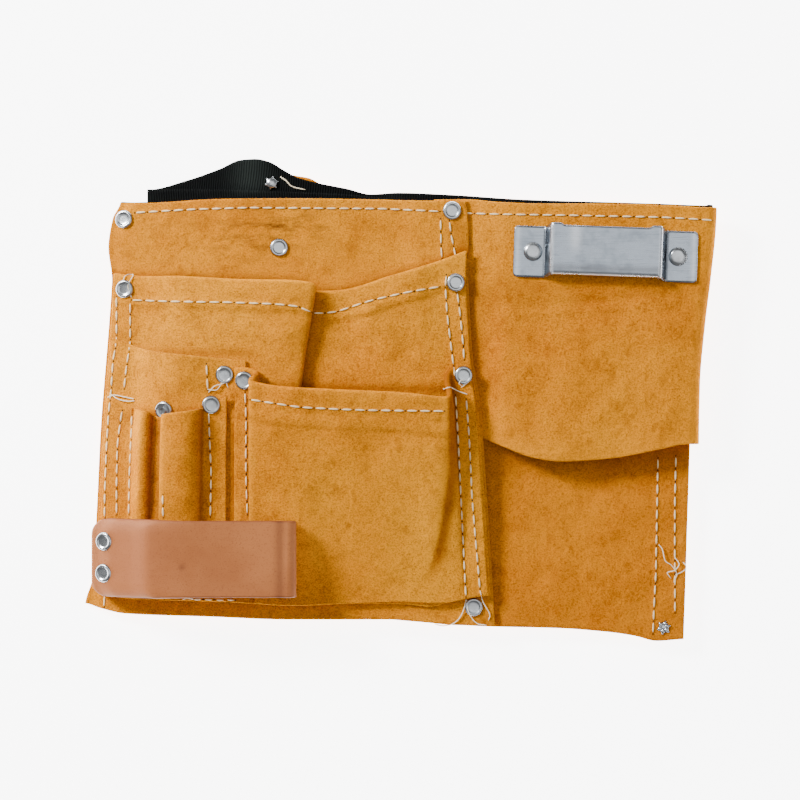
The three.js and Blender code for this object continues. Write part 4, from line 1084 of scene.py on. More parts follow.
    def main_form(self, u: Grid, v: Grid) -> Grid:
        """Middle surface of the main pocket.

        Args:
            u: share across.
            v: share down.

        Returns:
            Its points.
        """
        share = MAIN_FORM.read("across", u)
        top = self.main_top + MAIN_FORM.read("dip", u) + self.edge_bow / self.height
        down = lerp(top, self.hem_line + MAIN_HEM.read("dip", share), v)
        across = self.main_place(share)
        rests = MAIN_FORM.read("rests", u)
        outer, inner = (np.full_like(down, self.main_place(s)) for s in (0.04, 0.96))
        span = lerp(self.main_seat(outer, down), self.main_seat(inner, down), share)
        fade = MAIN_FADE.read("lift", v)
        settled = lerp(span, self.main_seat(across, down), np.maximum(rests, 1 - fade))
        lift = MAIN_FORM.read("lift", u) * self.main_lift * fade
        x, y = self.plan(across, down)
        depth = (down - top) * self.height + self.edge_bow
        hem = self.main_hem.height(depth, x) * smoothstep(u, 0.09, 0.16) * taper(u, 0.87, 0.93)
        face = smoothstep(u, 0.16, 0.26) * taper(u, 0.8, 0.86)
        crumple = (drift(x, y, 22.0, 33.0) * 1.7 + drift(x, y, 9.0, 2.0) * 0.5) * face
        crumple = crumple * taper(v, 0.55, 0.8)
        past = x - MAIN_FOLD.read("x", -y)
        pleat = 4.2 * smoothstep(past, -0.4, 3.2) * taper(u, 0.9, 0.94)
        ridge = 0.9 * bump_at(past, -1.4, 2.6)
        fold = (ridge - pleat) * np.clip(fade, 0, 0.7) * smoothstep(v, 0.05, 0.3)
        return self.place(across, down, settled + lift + hem + crumple + fold)

    def backing_form(self, u: Grid, v: Grid) -> Grid:
        """Middle surface of the back sheet."""
        return self.place(u, v, 0.0)

    def backing_marks(self, u: Grid, v: Grid, points: Grid) -> Marks:
        """Stains, darker edges, a lighter middle and painted shade under the upper pocket's mouth.

        Args:
            u: share across.
            v: share down.
            points: its points.

        Returns:
            Its marks.
        """
        x, y = points[..., 0], points[..., 1]
        stain = bump_at(x, -62, 26) * bump_at(y, 94, 9) + 0.8 * bump_at(x, -90, 40) * bump_at(y, 84, 12)
        shade = 0.5 * bump_at(u, 0.97, 0.03) + 0.35 * taper(u, 0.0, 0.03)
        # painted shade: a dark band under the mouth of the upper pocket
        mouth = v - self.upper_top - UPPER_FORM.read("dip", u)
        shade = np.clip(shade + 0.8 * bump_at(mouth, 0.002, 0.012), 0, 1)
        return Marks(wear_and_highlight=0.3 * bump_at(v, 0.5, 0.5), shade=shade, stain=stain)

    def upper_marks(self, u: Grid, v: Grid, points: Grid) -> Marks:
        """A lighter top edge and crest, and painted shade beside the bulge and under the pockets' mouths.

        Args:
            u: share across.
            v: share down.
            points: its points.

        Returns:
            Its marks.
        """
        crest = bump_at(u, 0.5, 0.06) * taper(v, 0.1, 0.5)
        # painted shade: right of the bulge's fold, and under the mouths of the main and middle pockets
        hollow = bump_at(u, 0.585, 0.03) * taper(v, 0.2, 0.6) * 0.9
        y = (WAIST_Y - points[..., 1]) / self.height
        mouth = bump_at(y, self.main_top + 0.012, 0.014)
        mouth = mouth * smoothstep(u, 0.36, 0.4) * taper(u, 0.93, 0.96)
        low = bump_at(y, self.middle_top + 0.008, 0.01)
        low = low * smoothstep(u, 0.06, 0.1) * taper(u, 0.37, 0.4)
        hollow = np.clip(hollow + 0.8 * mouth + 0.5 * low, 0, 1)
        return Marks(wear_and_highlight=0.25 * taper(v, 0.0, 0.02) + 0.35 * crest, shade=hollow)

    def middle_marks(self, u: Grid, v: Grid, points: Grid) -> Marks:
        """Shade in the mouths of the tool slots and in the valley beside the main pocket.

        Args:
            u: share across.
            v: share down.
            points: its points.

        Returns:
            Its marks.
        """
        down = (WAIST_Y - points[..., 1]) / self.height
        mouth = bump_at(down, self.slot_top + 0.014, 0.016)
        mouth = mouth * smoothstep(u, 0.14, 0.2) * taper(u, 0.86, 0.9)
        valley = smoothstep(u, 0.86, 0.92) * smoothstep(down, self.slot_top + 0.01, self.slot_top + 0.05)
        return Marks(shade=np.clip(0.8 * mouth + 0.75 * valley, 0, 1))

    def slot_marks(self, u: Grid, v: Grid, points: Grid) -> Marks:
        """Painted shade on the sides and in the valley of the tool slots, a darker curled tip and lighter
        crests.

        Args:
            u: share across.
            v: share down.
            points: its points.

        Returns:
            Its marks.
        """
        # painted shade along the sides and the valley of the slots
        sides = bump_at(u, 0.28, 0.035) + bump_at(u, 0.4, 0.06) + bump_at(u, 0.83, 0.025)
        tip = taper(u, 0.0, 0.07) * taper(v, 0.0, 0.06)
        wear_and_highlight = 0.35 * bump_at(u, 0.56, 0.03) + 0.3 * bump_at(u, 0.17, 0.03)
        return Marks(wear_and_highlight=wear_and_highlight, shade=np.clip(0.75 * sides + tip, 0, 1))

    def main_marks(self, u: Grid, v: Grid, points: Grid) -> Marks:
        """Lighter crests and top edge, and painted shade in the side folds and the gusset of the main pocket.

        Args:
            u: share across.
            v: share down.
            points: its points.

        Returns:
            Its marks.
        """
        # painted shade in the side folds
        sides = bump_at(u, 0.12, 0.025) + bump_at(u, 0.9, 0.022)
        crest = bump_at(u, 0.17, 0.015) + 0.5 * taper(v, 0.0, 0.02)
        past = points[..., 0] - MAIN_FOLD.read("x", -points[..., 1])
        # painted shade on the gusset right of the fold, and a lighter crest along it
        gusset = smoothstep(past, -0.3, 1.2) * taper(past, 3, 9) * taper(v, 0.72, 0.95)
        crest = crest + 1.6 * bump_at(past, -1.2, 1.2) * taper(v, 0.7, 0.95)
        return Marks(wear_and_highlight=np.clip(0.4 * crest, 0, 1), shade=np.clip(0.7 * sides + 0.85 * gusset, 0, 1))

    def sheets(self) -> list[tuple[SheetMesh, str, Material, Sequence[str]]]:
        """The pouch's sheets from the bottom up.

        Returns:
            For each sheet its mesh, CAD node, material and what it lies on.
        """
        cells = int(self.mean_width / self.step)
        rows = int(self.height / self.step)
        backing = SheetMesh(
            BACK, edged(evenly(cells), 0.003), edged(evenly(rows), 0.003),
            self.backing_form, SUEDE, self.backing_marks,
        )
        upper = SheetMesh(
            UPPER, edged(evenly(cells), 0.003), edged(evenly(120), 0.003),
            self.upper_form, SUEDE, self.upper_marks, turned_hem=0.85, rounding=3,
        )
        middle = SheetMesh(
            MIDDLE, edged(evenly(52), 0.007), edged(evenly(84), 0.004),
            self.middle_form, SUEDE, self.middle_marks,
        )
        slots = SheetMesh(
            SLOTS, edged(evenly(96), 0.006), edged(evenly(70), 0.005),
            self.slot_form, SUEDE, self.slot_marks, rounding=4,
        )
        main_pocket = SheetMesh(
            MAIN, edged(evenly(124), 0.004), edged(evenly(88), 0.004),
            self.main_form, SUEDE, self.main_marks, turned_hem=0.85, rounding=4,
        )
        pocket = self.finishes.pocket
        return [
            (backing, "pouch_backing", self.finishes.backing, [BELT, PANEL]),
            (upper, "upper_pocket", pocket, [BACK]),
            (middle, "middle_pocket", pocket, [UPPER]),
            (slots, "tool_slot_panel", pocket, [MIDDLE]),
            (main_pocket, "main_pocket", pocket, [UPPER, MIDDLE]),
        ]

    def build(self) -> None:
        for sheet, node, material, under in self.sheets():
            made = sheet.build(material, self.finishes.edge)
            stand_for(made, node)
            declare(made, sheet, Held.LAID, under)


# Hammer loop


@dataclass
class HammerLoop:
    """The strap folded double and riveted at the pouch's outer edge."""

    finishes: Finishes
    pouch: FrontPouch
    length: float = 109.0
    width: float = 40.0
    drop: float = 169.0
    gap: float = 4.6
    stations: int = 10
    rivet_inset: float = 7.5
    cap_radius: float = 5.0
    round_end: float = 0.19
    overhang: float = 0.5
    spot: tuple[float, float] = (-114.0, -87.5)

    def __post_init__(self) -> None:
        """Work out where the strap starts and the height that it lies at."""
        middle_share = (self.drop + self.width / 2) / self.pouch.height
        self.start_x = self.pouch.plan(0.0, middle_share)[0] - self.overhang
        self.top_y = WAIST_Y - self.drop
        self.radius = (self.gap + STRAP_LEATHER) / 2
        self.straight = self.length - self.radius - STRAP_LEATHER / 2
        self.levels = self.lay()

    def lay(self) -> Table:
        """Lay the strap on whatever is highest under it, taut past its rivets.

        Returns:
            The height of its lower layer along its length.
        """
        pouch = self.pouch
        share, depth = np.meshgrid(evenly(40), evenly(30))
        middle = lerp(pouch.inset, pouch.inset + pouch.middle_width, share)
        down = lerp(pouch.middle_top, pouch.hem_line, depth)
        points = np.concatenate([
            pouch.place(middle, down, pouch.middle_height(middle, down)).reshape(-1, 3),
            pouch.slot_form(share, depth).reshape(-1, 3),
            pouch.main_form(share, depth).reshape(-1, 3),
        ])
        points = points[(points[:, 1] < self.top_y + 2) & (points[:, 1] > self.top_y - self.width - 2)]
        spacing = self.length / self.stations
        heights = []
        for share in evenly(self.stations):
            near = points[np.abs(points[:, 0] - self.start_x - share * self.length) < spacing]
            highest = near[:, 2].max() if len(near) else 0.0
            heights.append(highest + SUEDE / 2 + CLEARANCE + STRAP_LEATHER / 2)
        first = math.ceil(self.stations * (self.rivet_inset + self.cap_radius) / self.length)
        for start in range(first, self.stations):
            for end in range(start + 2, self.stations + 1):
                for i in range(start + 1, end):
                    taut = lerp(heights[start], heights[end], (i - start) / (end - start))
                    heights[i] = max(heights[i], taut)
        return Table(("share", "z"), tuple(zip(evenly(self.stations).tolist(), heights)))

    def form(self, u: Grid, v: Grid) -> Grid:
        """Middle surface of the strap, from the upper layer's end round the fold to the lower's.

        Args:
            u: share across.
            v: share down.

        Returns:
            Its points.
        """
        along = 1 - u
        edge = np.clip(np.abs(v - 0.5) - (0.5 - self.round_end), 0, None) / self.round_end
        curve = 1 - np.sqrt(np.clip(1 - edge**2, 0, None))
        start = self.start_x + self.round_end * self.width * curve
        turn_x = self.start_x + self.straight
        y = self.top_y - v * self.width
        arc = math.pi * self.radius
        total = 2 * self.straight + arc
        run = along * total
        share = np.minimum(run, total - run) / self.straight
        lower = self.levels.read("z", share * (self.straight / self.length))
        apart = lerp(STRAP_LEATHER + CLEARANCE, 2 * self.radius, smoothstep(share, 0.12, 0.5))
        at_turn = self.levels.read("z", self.straight / self.length)
        angle = np.clip((run - self.straight) / self.radius, 0, math.pi)
        under, over = run < self.straight, run > self.straight + arc
        x = np.where(under | over, lerp(start, turn_x, share), turn_x + self.radius * np.sin(angle))
        turning = at_turn + self.radius * (1 - np.cos(angle))
        z = np.where(under, lower, np.where(over, lower + apart, turning))
        dished = 0.5 * bump_at(v, 0.5, 0.45) * smoothstep(share, 0.2, 0.6)
        return np.stack([x, y, z - np.where(over, dished, 0)], axis=-1)

    def marks(self, u: Grid, v: Grid, points: Grid) -> Marks:
        """Painted shade in a band before the fold, darker long edges, a dark spot and a painted highlight on
        the fold.

        Args:
            u: share across.
            v: share down.
            points: its points.

        Returns:
            Its marks.
        """
        x = points[..., 0] - self.start_x
        upper = u < 0.5
        # painted shade: the dark band just before the fold
        band = bump_at(x, self.length - 8.5, 2.6) * 0.55
        rim = 0.5 * (smoothstep(v, 0.965, 0.995) + 1 - smoothstep(v, 0.005, 0.035))
        spot = bump_at(points[..., 0], self.spot[0], 1.6) * bump_at(points[..., 1], self.spot[1], 1.6) * 0.7
        # painted highlight: the light line along the fold
        fold = bump_at(x, self.length + 0.6, 1.2) * 0.8
        shade = np.clip(np.where(upper, band + spot, 0) + rim, 0, 1)
        return Marks(wear_and_highlight=np.where(upper, fold, 0), shade=shade)

    def build(self) -> None:
        """Build the strap."""
        length = 2 * self.straight + math.pi * self.radius
        flat = self.straight / length
        lines = np.concatenate([
            evenly(70) * flat, flat + evenly(18)[1:-1] * (1 - 2 * flat), 1 - evenly(70)[::-1] * flat,
        ])
        widths = np.unique(np.concatenate([evenly(28), [0.012, 0.03, 0.06, 0.94, 0.97, 0.988]]))
        sheet = SheetMesh(
            "hammer_loop_strap", lines, widths, self.form, STRAP_LEATHER, self.marks, rim=0.5
        )
        made = sheet.build(self.finishes.strap, self.finishes.strap_edge)
        stand_for(made, "hammer_loop")
        sheet.flat = (length, self.width)
        declare(made, sheet, Held.FOLDED, [MAIN, BACK])


# Centre panel


PANEL_CLIMB = Table(("across", "waist", "low"), (
    (0, 0, 0), (0.13, 0, 0), (0.2, 0.5, 0.02), (0.28, 1, 0.85), (0.36, 1, 1), (1, 1, 1),
))
PANEL_ENDS = Table(("across", "waist", "hem"), (
    (0, 0.005, 0.155), (0.12, 0.006, 0.12), (0.24, -0.006, 0.07), (0.4, -0.012, 0.012),
    (0.5, -0.012, 0), (0.7, -0.013, 0.012), (0.88, -0.02, 0.045), (1, -0.026, 0.066),
))
PANEL_FOLD_LINE = Table(("down", "back"), (
    (0, 0), (0.08, 0.003), (0.3, 0.024), (0.5, 0.047), (0.75, 0.067), (1, 0.071),
))


@dataclass
class CentrePanel:
    """The panel between the pouches, folded round at the right."""

    finishes: Finishes
    pouch: FrontPouch
    front_width: float = 133.0
    tuck: float = 17.0
    wrap: float = 18.0
    depth: float = 138.0
    radius: float = 5.5
    rear_level: float = 8.85

    def __post_init__(self) -> None:
        """Work out where the panel starts, turns and how long it is."""
        self.turn_x = FOLD_X - self.radius - SUEDE / 2
        self.start_x = self.pouch.inner_x - self.tuck
        self.flat = self.turn_x - self.start_x
        self.arc = math.pi * self.radius
        self.length = self.flat + self.arc + self.wrap
        self.fold_level = self.rear_level + 2 * self.radius

    def plan_y(self, across: Grid, down: Grid) -> Grid:
        """Plan place up the panel."""
        waist = WAIST_Y + PANEL_ENDS.read("waist", across) * self.depth
        hem = WAIST_Y - self.depth * (1 - PANEL_ENDS.read("hem", across))
        return lerp(waist, hem, down)

    def front_level(self, across: Grid, down: Grid) -> Grid:
        """Height of the panel's front.

        Args:
            across: share across.
            down: share down.

        Returns:
            The height.
        """
        beside = (WAIST_Y - self.plan_y(across, down)) / self.pouch.height
        behind = self.pouch.level(np.ones_like(beside), beside) - PITCH
        climb = lerp(
            PANEL_CLIMB.read("waist", across), PANEL_CLIMB.read("low", across), smoothstep(down, 0.27, 0.6)
        )
        return lerp(behind, self.fold_level, climb)

    def form(self, u: Grid, v: Grid) -> Grid:
        """Middle surface of the panel.

        Args:
            u: share across.
            v: share down.

        Returns:
            Its points.
        """
        run = u * self.length
        turn_x = self.turn_x - PANEL_FOLD_LINE.read("back", v) * self.front_width
        across = np.clip(run / self.flat, 0, 1)
        turned = np.clip(run - self.flat, 0, self.arc)
        rest = np.clip(run - self.flat - self.arc, 0, None)
        angle = turned / self.radius
        x = lerp(self.start_x, turn_x, across)
        x = np.where(run <= self.flat, x, turn_x + self.radius * np.sin(angle) - rest)
        y = self.plan_y(across, v) + 0.1 * rest * v
        front = self.front_level(across, v)
        z = np.where(run <= self.flat, front, self.fold_level - self.radius * (1 - np.cos(angle)))
        free = smoothstep(across, 0.26, 0.4) * taper(across, 0.93, 1) * smoothstep(v, 0.36, 0.5)
        crumple = (1.4 * drift(x, y, 30.0, 4.4) + 0.5 * drift(x, y, 12.0, 8.8)) * free
        creases = 0.7 * bump_at(y - 0.08 * (x - 100), 52, 2.2)
        creases = creases + 0.5 * bump_at(y - 0.05 * (x - 100), 44, 2.4)
        creases = creases * bump_at(x, 108, 34)
        return np.stack([x, y, z + crumple - creases], axis=-1)

    def marks(self, u: Grid, v: Grid, points: Grid) -> Marks:
        """Painted shadow beside the pouch, a darker band across the panel, and lighter leather along the fold
        and the lower edge.

        Args:
            u: share across.
            v: share down.
            points: its points.

        Returns:
            Its marks.
        """
        x, y = points[..., 0], points[..., 1]
        # painted shadow that the pouch casts beside it, and a darker band across the panel
        shade = 0.6 * bump_at(x, 37, 5) * taper(y, 55, 75) + 0.25 * bump_at(y, 60, 5)
        wear_and_highlight = 0.35 * smoothstep(v, 0.9, 1.0) + 0.4 * bump_at(u * self.length, self.flat + 3, 4)
        return Marks(wear_and_highlight=wear_and_highlight, shade=np.clip(shade, 0, 1))

    def build(self) -> None:
        """Build the panel."""
        turn = self.flat / self.length
        wrapped = (self.flat + self.arc) / self.length
        lines = np.unique(np.concatenate([
            evenly(92) * turn, lerp(turn, wrapped, evenly(16)), lerp(wrapped, 1, evenly(8)),
        ]))
        sheet = SheetMesh(
            PANEL, edged(lines, 0.003), edged(evenly(88), 0.004), self.form, SUEDE, self.marks
        )
        made = sheet.build(self.finishes.panel, self.finishes.edge)
        stand_for(made, "centre_panel")
        declare(made, sheet, Held.FOLDED, [BELT, REAR])


# Rear pouch


BELT_WAIST = Table(("x", "rise"), (
    (-0.8, 0.186), (-0.675, 0.314), (-0.571, 0.473), (-0.505, 0.6), (-0.457, 0.616), (-0.413, 0.573),
    (-0.369, 0.457), (-0.322, 0.343), (-0.255, 0.265), (-0.167, 0.186), (-0.092, 0.106),
    (-0.006, 0.128), (0.155, 0.1), (0.394, 0.03), (0.757, -0.02), (1, -0.06),
))
BELT_COMEBACK = Table(("x", "rise"), ((-0.8, 0.186), (-0.22, 0.114), (0.1, -0.03), (0.6, -0.25)))
REAR_EDGE = Table(("x", "rise"), (
    (-0.457, -0.2), (-0.37, -0.06), (-0.33, 0.02), (-0.29, 0.045), (-0.24, -0.02), (-0.1, -0.05), (1, -0.04),
))
REAR_HEM = Table(("across", "rise"), (
    (0, 0.097), (0.3, 0.06), (0.6, 0.033), (0.734, 0.0295), (0.845, 0.0205), (0.9, 0.0115),
    (0.945, 0), (1, 0.004),
))
REAR_MAIN_FORM = Table(("along", "across", "drop"), (
    (0, 0, 0), (0.08, 0.08, 0), (0.18, 0.16, 1), (0.8, 0.82, 1), (0.9, 0.9, 0), (1, 1, 0),
))
BELT_WIDTH = 37.0


def belt_edge(table: Table, x: Grid) -> Grid:
    """Where the belt's upper edge lies over a place along the waist."""
    return WAIST_Y + table.read("rise", np.asarray(x, float) / FOLD_X) * BELT_WIDTH


@dataclass
class RearPouch:
    """The other pouch, folded behind and lying face down."""

    finishes: Finishes
    waist_width: float = 235.0
    hem_width: float = 261.0
    height: float = 233.8
    lean: float = 7.5
    inset: float = 9.5
    main_width: float = 150.0
    upper_depth: float = 178.0
    main_depth: float = 125.0
    edge_share: float = 2.4 / 184.0
    hem_line: float = 0.935

    def __post_init__(self) -> None:
        """Work out the levels of its layers from the floor up."""
        self.inner_x = FOLD_X - self.inset
        self.outer_x = self.inner_x - self.waist_width
        self.flange_level = SUEDE + CAP_HEIGHT + SEAT_GAP
        self.upper_level = self.flange_level + PITCH
        self.level = self.upper_level + PITCH

    def place(self, across: Grid, down: Grid, z: Grid) -> Grid:
        """A point over the pouch's plan.

        Args:
            across: share across.
            down: share down.
            z: height over the floor.

        Returns:
            The points.
        """
        inner_x = self.inner_x - self.lean * down
        x = inner_x - (1 - across) * lerp(self.waist_width, self.hem_width, down)
        waist_x = self.inner_x - (1 - across) * self.waist_width
        waist = belt_edge(BELT_WAIST, waist_x) + REAR_EDGE.read("rise", waist_x / FOLD_X) * BELT_WIDTH
        hem = WAIST_Y - self.height * (1 - REAR_HEM.read("rise", across))
        y = lerp(waist, hem, down)
        return np.stack([x, y, np.broadcast_to(z, x.shape)], axis=-1)

    def backing_form(self, u: Grid, v: Grid) -> Grid:
        """Middle surface of the back sheet, a little uneven where it shows.

        Args:
            u: share across.
            v: share down.

        Returns:
            Its points.
        """
        flat = self.place(u, v, self.level)
        x, y = flat[..., 0], flat[..., 1]
        shown = taper(y, -30, -12)
        shown = shown * smoothstep(x, 40, 60)
        flat[..., 2] += (0.9 * drift(x, y, 28.0, 6.1) + 0.4 * drift(x, y, 11.0, 1.1) + 0.5) * shown
        return flat

    def upper_form(self, u: Grid, v: Grid) -> Grid:
        """Middle surface of the hidden upper pocket."""
        top = 1 - self.upper_depth / self.height
        across = lerp(self.edge_share, 1 - self.edge_share, u)
        return self.place(across, lerp(top, self.hem_line, v), self.upper_level)

    def main_form(self, u: Grid, v: Grid) -> Grid:
        """Middle surface of the hidden main pocket, flattened where it rests.

        Args:
            u: share across.
            v: share down.

        Returns:
            Its points.
        """
        top = 1 - self.main_depth / self.height
        start = 1 - self.edge_share - self.main_width / self.hem_width
        sewn = np.clip((v - 0.86) / 0.14, 0, None)
        drop = REAR_MAIN_FORM.read("drop", u) * taper(sewn, 0, 1)
        z = lerp(self.flange_level, SUEDE / 2, drop)
        share = REAR_MAIN_FORM.read("across", u)
        return self.place(lerp(start, 1 - self.edge_share, share), lerp(top, self.hem_line - 0.01, v), z)

    def marks(self, u: Grid, v: Grid, points: Grid) -> Marks:
        """Painted shadow below the panel's lower edge, and a lighter inner edge."""
        y = points[..., 1]
        # painted shadow below the panel's lower edge, on the inner half
        return Marks(wear_and_highlight=0.25 * smoothstep(u, 0.97, 1.0), shade=0.35 * bump_at(y, -30, 12) * (u > 0.5))

    def build(self) -> None:
        """Build the pouch's three sheets."""
        for name, cells, edge, form, marks, node, held in (
            (REAR, (116, 104), 0.003, self.backing_form, self.marks, "rear_pouch_backing", Held.FOLDED),
            ("rear_upper_leather", (50, 32), 0.003, self.upper_form, None, "rear_upper_pocket", Held.LAID),
            ("rear_main_leather", (48, 40), 0.004, self.main_form, None, "rear_main_pocket", Held.LAID),
        ):
            across, down = (edged(evenly(count), edge) for count in cells)
            sheet = SheetMesh(name, across, down, form, SUEDE, marks)
            made = sheet.build(self.finishes.rear, self.finishes.edge)
            stand_for(made, node)
            declare(made, sheet, held, ["floor"])


# Waist belt


@dataclass
class WaistBelt:
    """The webbing sewn behind the waist edge, folded at the left and returned between the pouches."""

    finishes: Finishes
    pouch: FrontPouch
    panel: CentrePanel
    rear: RearPouch
    tail: float = 42.0
    free: float = 59.0
    comeback: float = 240.0
    end: float = 18.0
    rise: float = 0.6
    step: float = 11.0
    margin: float = 3.5
    slack: float = 16.0
    clasp_thickness: float = 3.0
    station: float = 1.6
    bend_steps: int = 10
    under_waist: float = 0.1
    under_pouch: tuple[float, ...] = (0.0, 0.04, 0.08, 0.12, 0.17)
    stations: list[tuple[float, float, float]] = field(default_factory=list)

    def __post_init__(self) -> None:
        """Work out where the belt turns, folds and ends."""
        self.top_level = self.panel.fold_level - BELT_DROP
        self.low_level = self.panel.rear_level + BELT_DROP
        self.fold = BELT_PITCH / 2 + 0.1
        self.corner_x = self.pouch.plan(0.0, 0.0)[0] + 1.5
        self.free_x = self.rear.outer_x - self.free
        self.end_x = self.free_x + self.comeback
        self.step_x = self.panel.turn_x - self.panel.wrap - self.margin - self.step

    def front_level(self, x: float) -> float:
        """Height of the run behind the front of the apron.

        Args:
            x: place along the waist.

        Returns:
            The height.
        """
        panel, pouch = self.panel, self.pouch
        if x > panel.start_x:
            across = (x - panel.start_x) / panel.flat
            return float(panel.front_level(across, self.under_waist)) - BELT_DROP
        levels = [pouch.level(1.0, 0.0) - PITCH]
        for down in self.under_pouch:
            outer, inner = (pouch.plan(across, down)[0] for across in (0.0, 1.0))
            levels.append(pouch.level((x - outer) / (inner - outer), down))
        return float(min(levels)) - BELT_DROP

    def tail_level(self, x: float) -> float:
        """Height of the folded-back tail, under the front run."""
        return self.front_level(x) - 2 * self.fold

    def rear_level(self, x: float) -> float:
        """Height of the run over the rear pouch, which sinks to the floor past its end.

        Args:
            x: place along the waist.

        Returns:
            The height.
        """
        over_panel = smoothstep(x, self.step_x, self.step_x + self.step)
        level = lerp(self.rear.level, self.panel.rear_level, over_panel) + BELT_DROP
        risen = smoothstep(x, self.free_x - self.slack, self.rear.outer_x - self.margin)
        return float(lerp(WEBBING / 2 + CLEARANCE, level, risen))

    def back_level(self, x: float) -> float:
        """Height of the run that comes back over the rear run."""
        return self.rear_level(min(x, self.step_x)) + 2 * self.fold

    def front_edge(self, x: float) -> float:
        """Where the belt's upper edge lies behind the front.

        Args:
            x: place along the waist.

        Returns:
            The y place.
        """
        if x > self.pouch.inner_x:
            across = min((x - self.panel.start_x) / self.panel.flat, 1)
            return float(self.panel.plan_y(across, 0.0)) + self.rise
        outer = self.pouch.plan(0.0, 0.0)[0]
        across = (x - outer) / (self.pouch.inner_x - outer)
        return float(self.pouch.plan(across, 0.0)[1]) + self.rise

    def rear_edge(self, x: float) -> float:
        """Where the rear run's upper edge lies."""
        return float(belt_edge(BELT_WAIST, x))

    def back_edge(self, x: float) -> float:
        """Where the upper edge of the run that comes back lies."""
        return float(belt_edge(BELT_COMEBACK, x))

    def lay(self, start: float, end: float, level: Run, top: Run) -> None:
        """Lay a run along the waist.

        Args:
            start: where it starts.
            end: where it ends.
            level: its height at a place.
            top: its upper edge at a place.
        """
        for share in evenly(max(2, int(abs(end - start) / self.station))):
            x = lerp(start, end, share)
            self.stations.append((x, level(x), top(x)))

    def bend(self, x: float, z: float, radius: float, side: int, top: float) -> None:
        """Turn the belt back over or under itself.

        Args:
            x: place of the turn's middle.
            z: its height.
            radius: of the turn, negative where it turns upwards.
            side: 1 to the right, -1 to the left.
            top: the upper edge there.
        """
        for share in evenly(self.bend_steps)[1:-1]:
            angle = math.pi * share
            place = x + side * radius * math.sin(angle)
            self.stations.append((place, z + radius * math.cos(angle), top))

    def follow(self) -> None:
        """Lay the belt's stations: place along the waist, height and upper edge."""
        panel, corner = self.panel, self.corner_x
        self.lay(corner + self.tail, corner, self.tail_level, self.front_edge)
        middle = self.front_level(corner) - self.fold
        self.bend(corner, middle, -self.fold, 1, self.front_edge(corner))
        self.lay(corner, panel.start_x, self.front_level, self.front_edge)
        self.lay(panel.start_x + 2, panel.turn_x, self.front_level, self.front_edge)
        radius = (self.top_level - self.low_level) / 2
        middle = (self.top_level + self.low_level) / 2
        self.bend(panel.turn_x, middle, radius, 1, self.rear_edge(panel.turn_x))
        self.lay(panel.turn_x, self.free_x + 1, self.rear_level, self.rear_edge)
        middle = self.rear_level(self.free_x) + self.fold
        self.bend(self.free_x + 1, middle, -self.fold, -1, self.rear_edge(self.free_x))
        self.lay(self.free_x + 1, self.end_x, self.back_level, self.back_edge)
        radius = (self.clasp_thickness + WEBBING) / 2 + CLEARANCE
        middle = self.back_level(self.end_x) + radius
        top = self.back_edge(self.end_x)
        self.bend(self.end_x, middle, -radius, 1, top)
        for share in evenly(int(self.end / self.station)):
            x = lerp(self.end_x, self.end_x - self.end, share)
            self.stations.append((x, middle + radius, top))

    def form(self, u: Grid, v: Grid) -> Grid:
        """Middle surface of the belt, which follows the panel's fold line at the right.

        Args:
            u: share across.
            v: share down.

        Returns:
            Its points.
        """
        panel, route = self.panel, np.array(self.stations)
        station = route[np.round(u * (len(route) - 1)).astype(int)]
        x, z, top = station[..., 0], station[..., 1], station[..., 2]
        y = top - v * BELT_WIDTH
        back = PANEL_FOLD_LINE.read("back", (WAIST_Y - y) / panel.depth) * panel.front_width
        x = x - back * smoothstep(x, panel.turn_x - 3 * panel.radius, panel.turn_x)
        return np.stack([x, y, z], axis=-1)

    def marks(self, u: Grid, v: Grid, points: Grid) -> Marks:
        """The light that the bulge at the waist catches."""
        x, y = points[..., 0], points[..., 1]
        return Marks(wear_and_highlight=np.clip(0.5 * bump_at(x, -80, 10) * smoothstep(y, 104, 118), 0, 1))

    def build(self) -> None:
        """Build the belt."""
        self.follow()
        lines = evenly(len(self.stations) - 1)
        sheet = SheetMesh(BELT, lines, edged(evenly(18), 0.02), self.form, WEBBING, self.marks, rim=0.3)
        made = sheet.build(self.finishes.webbing, self.finishes.webbing)
        stand_for(made, "waist_belt")
        declare(made, sheet, Held.FOLDED, [REAR])


# Tape clip


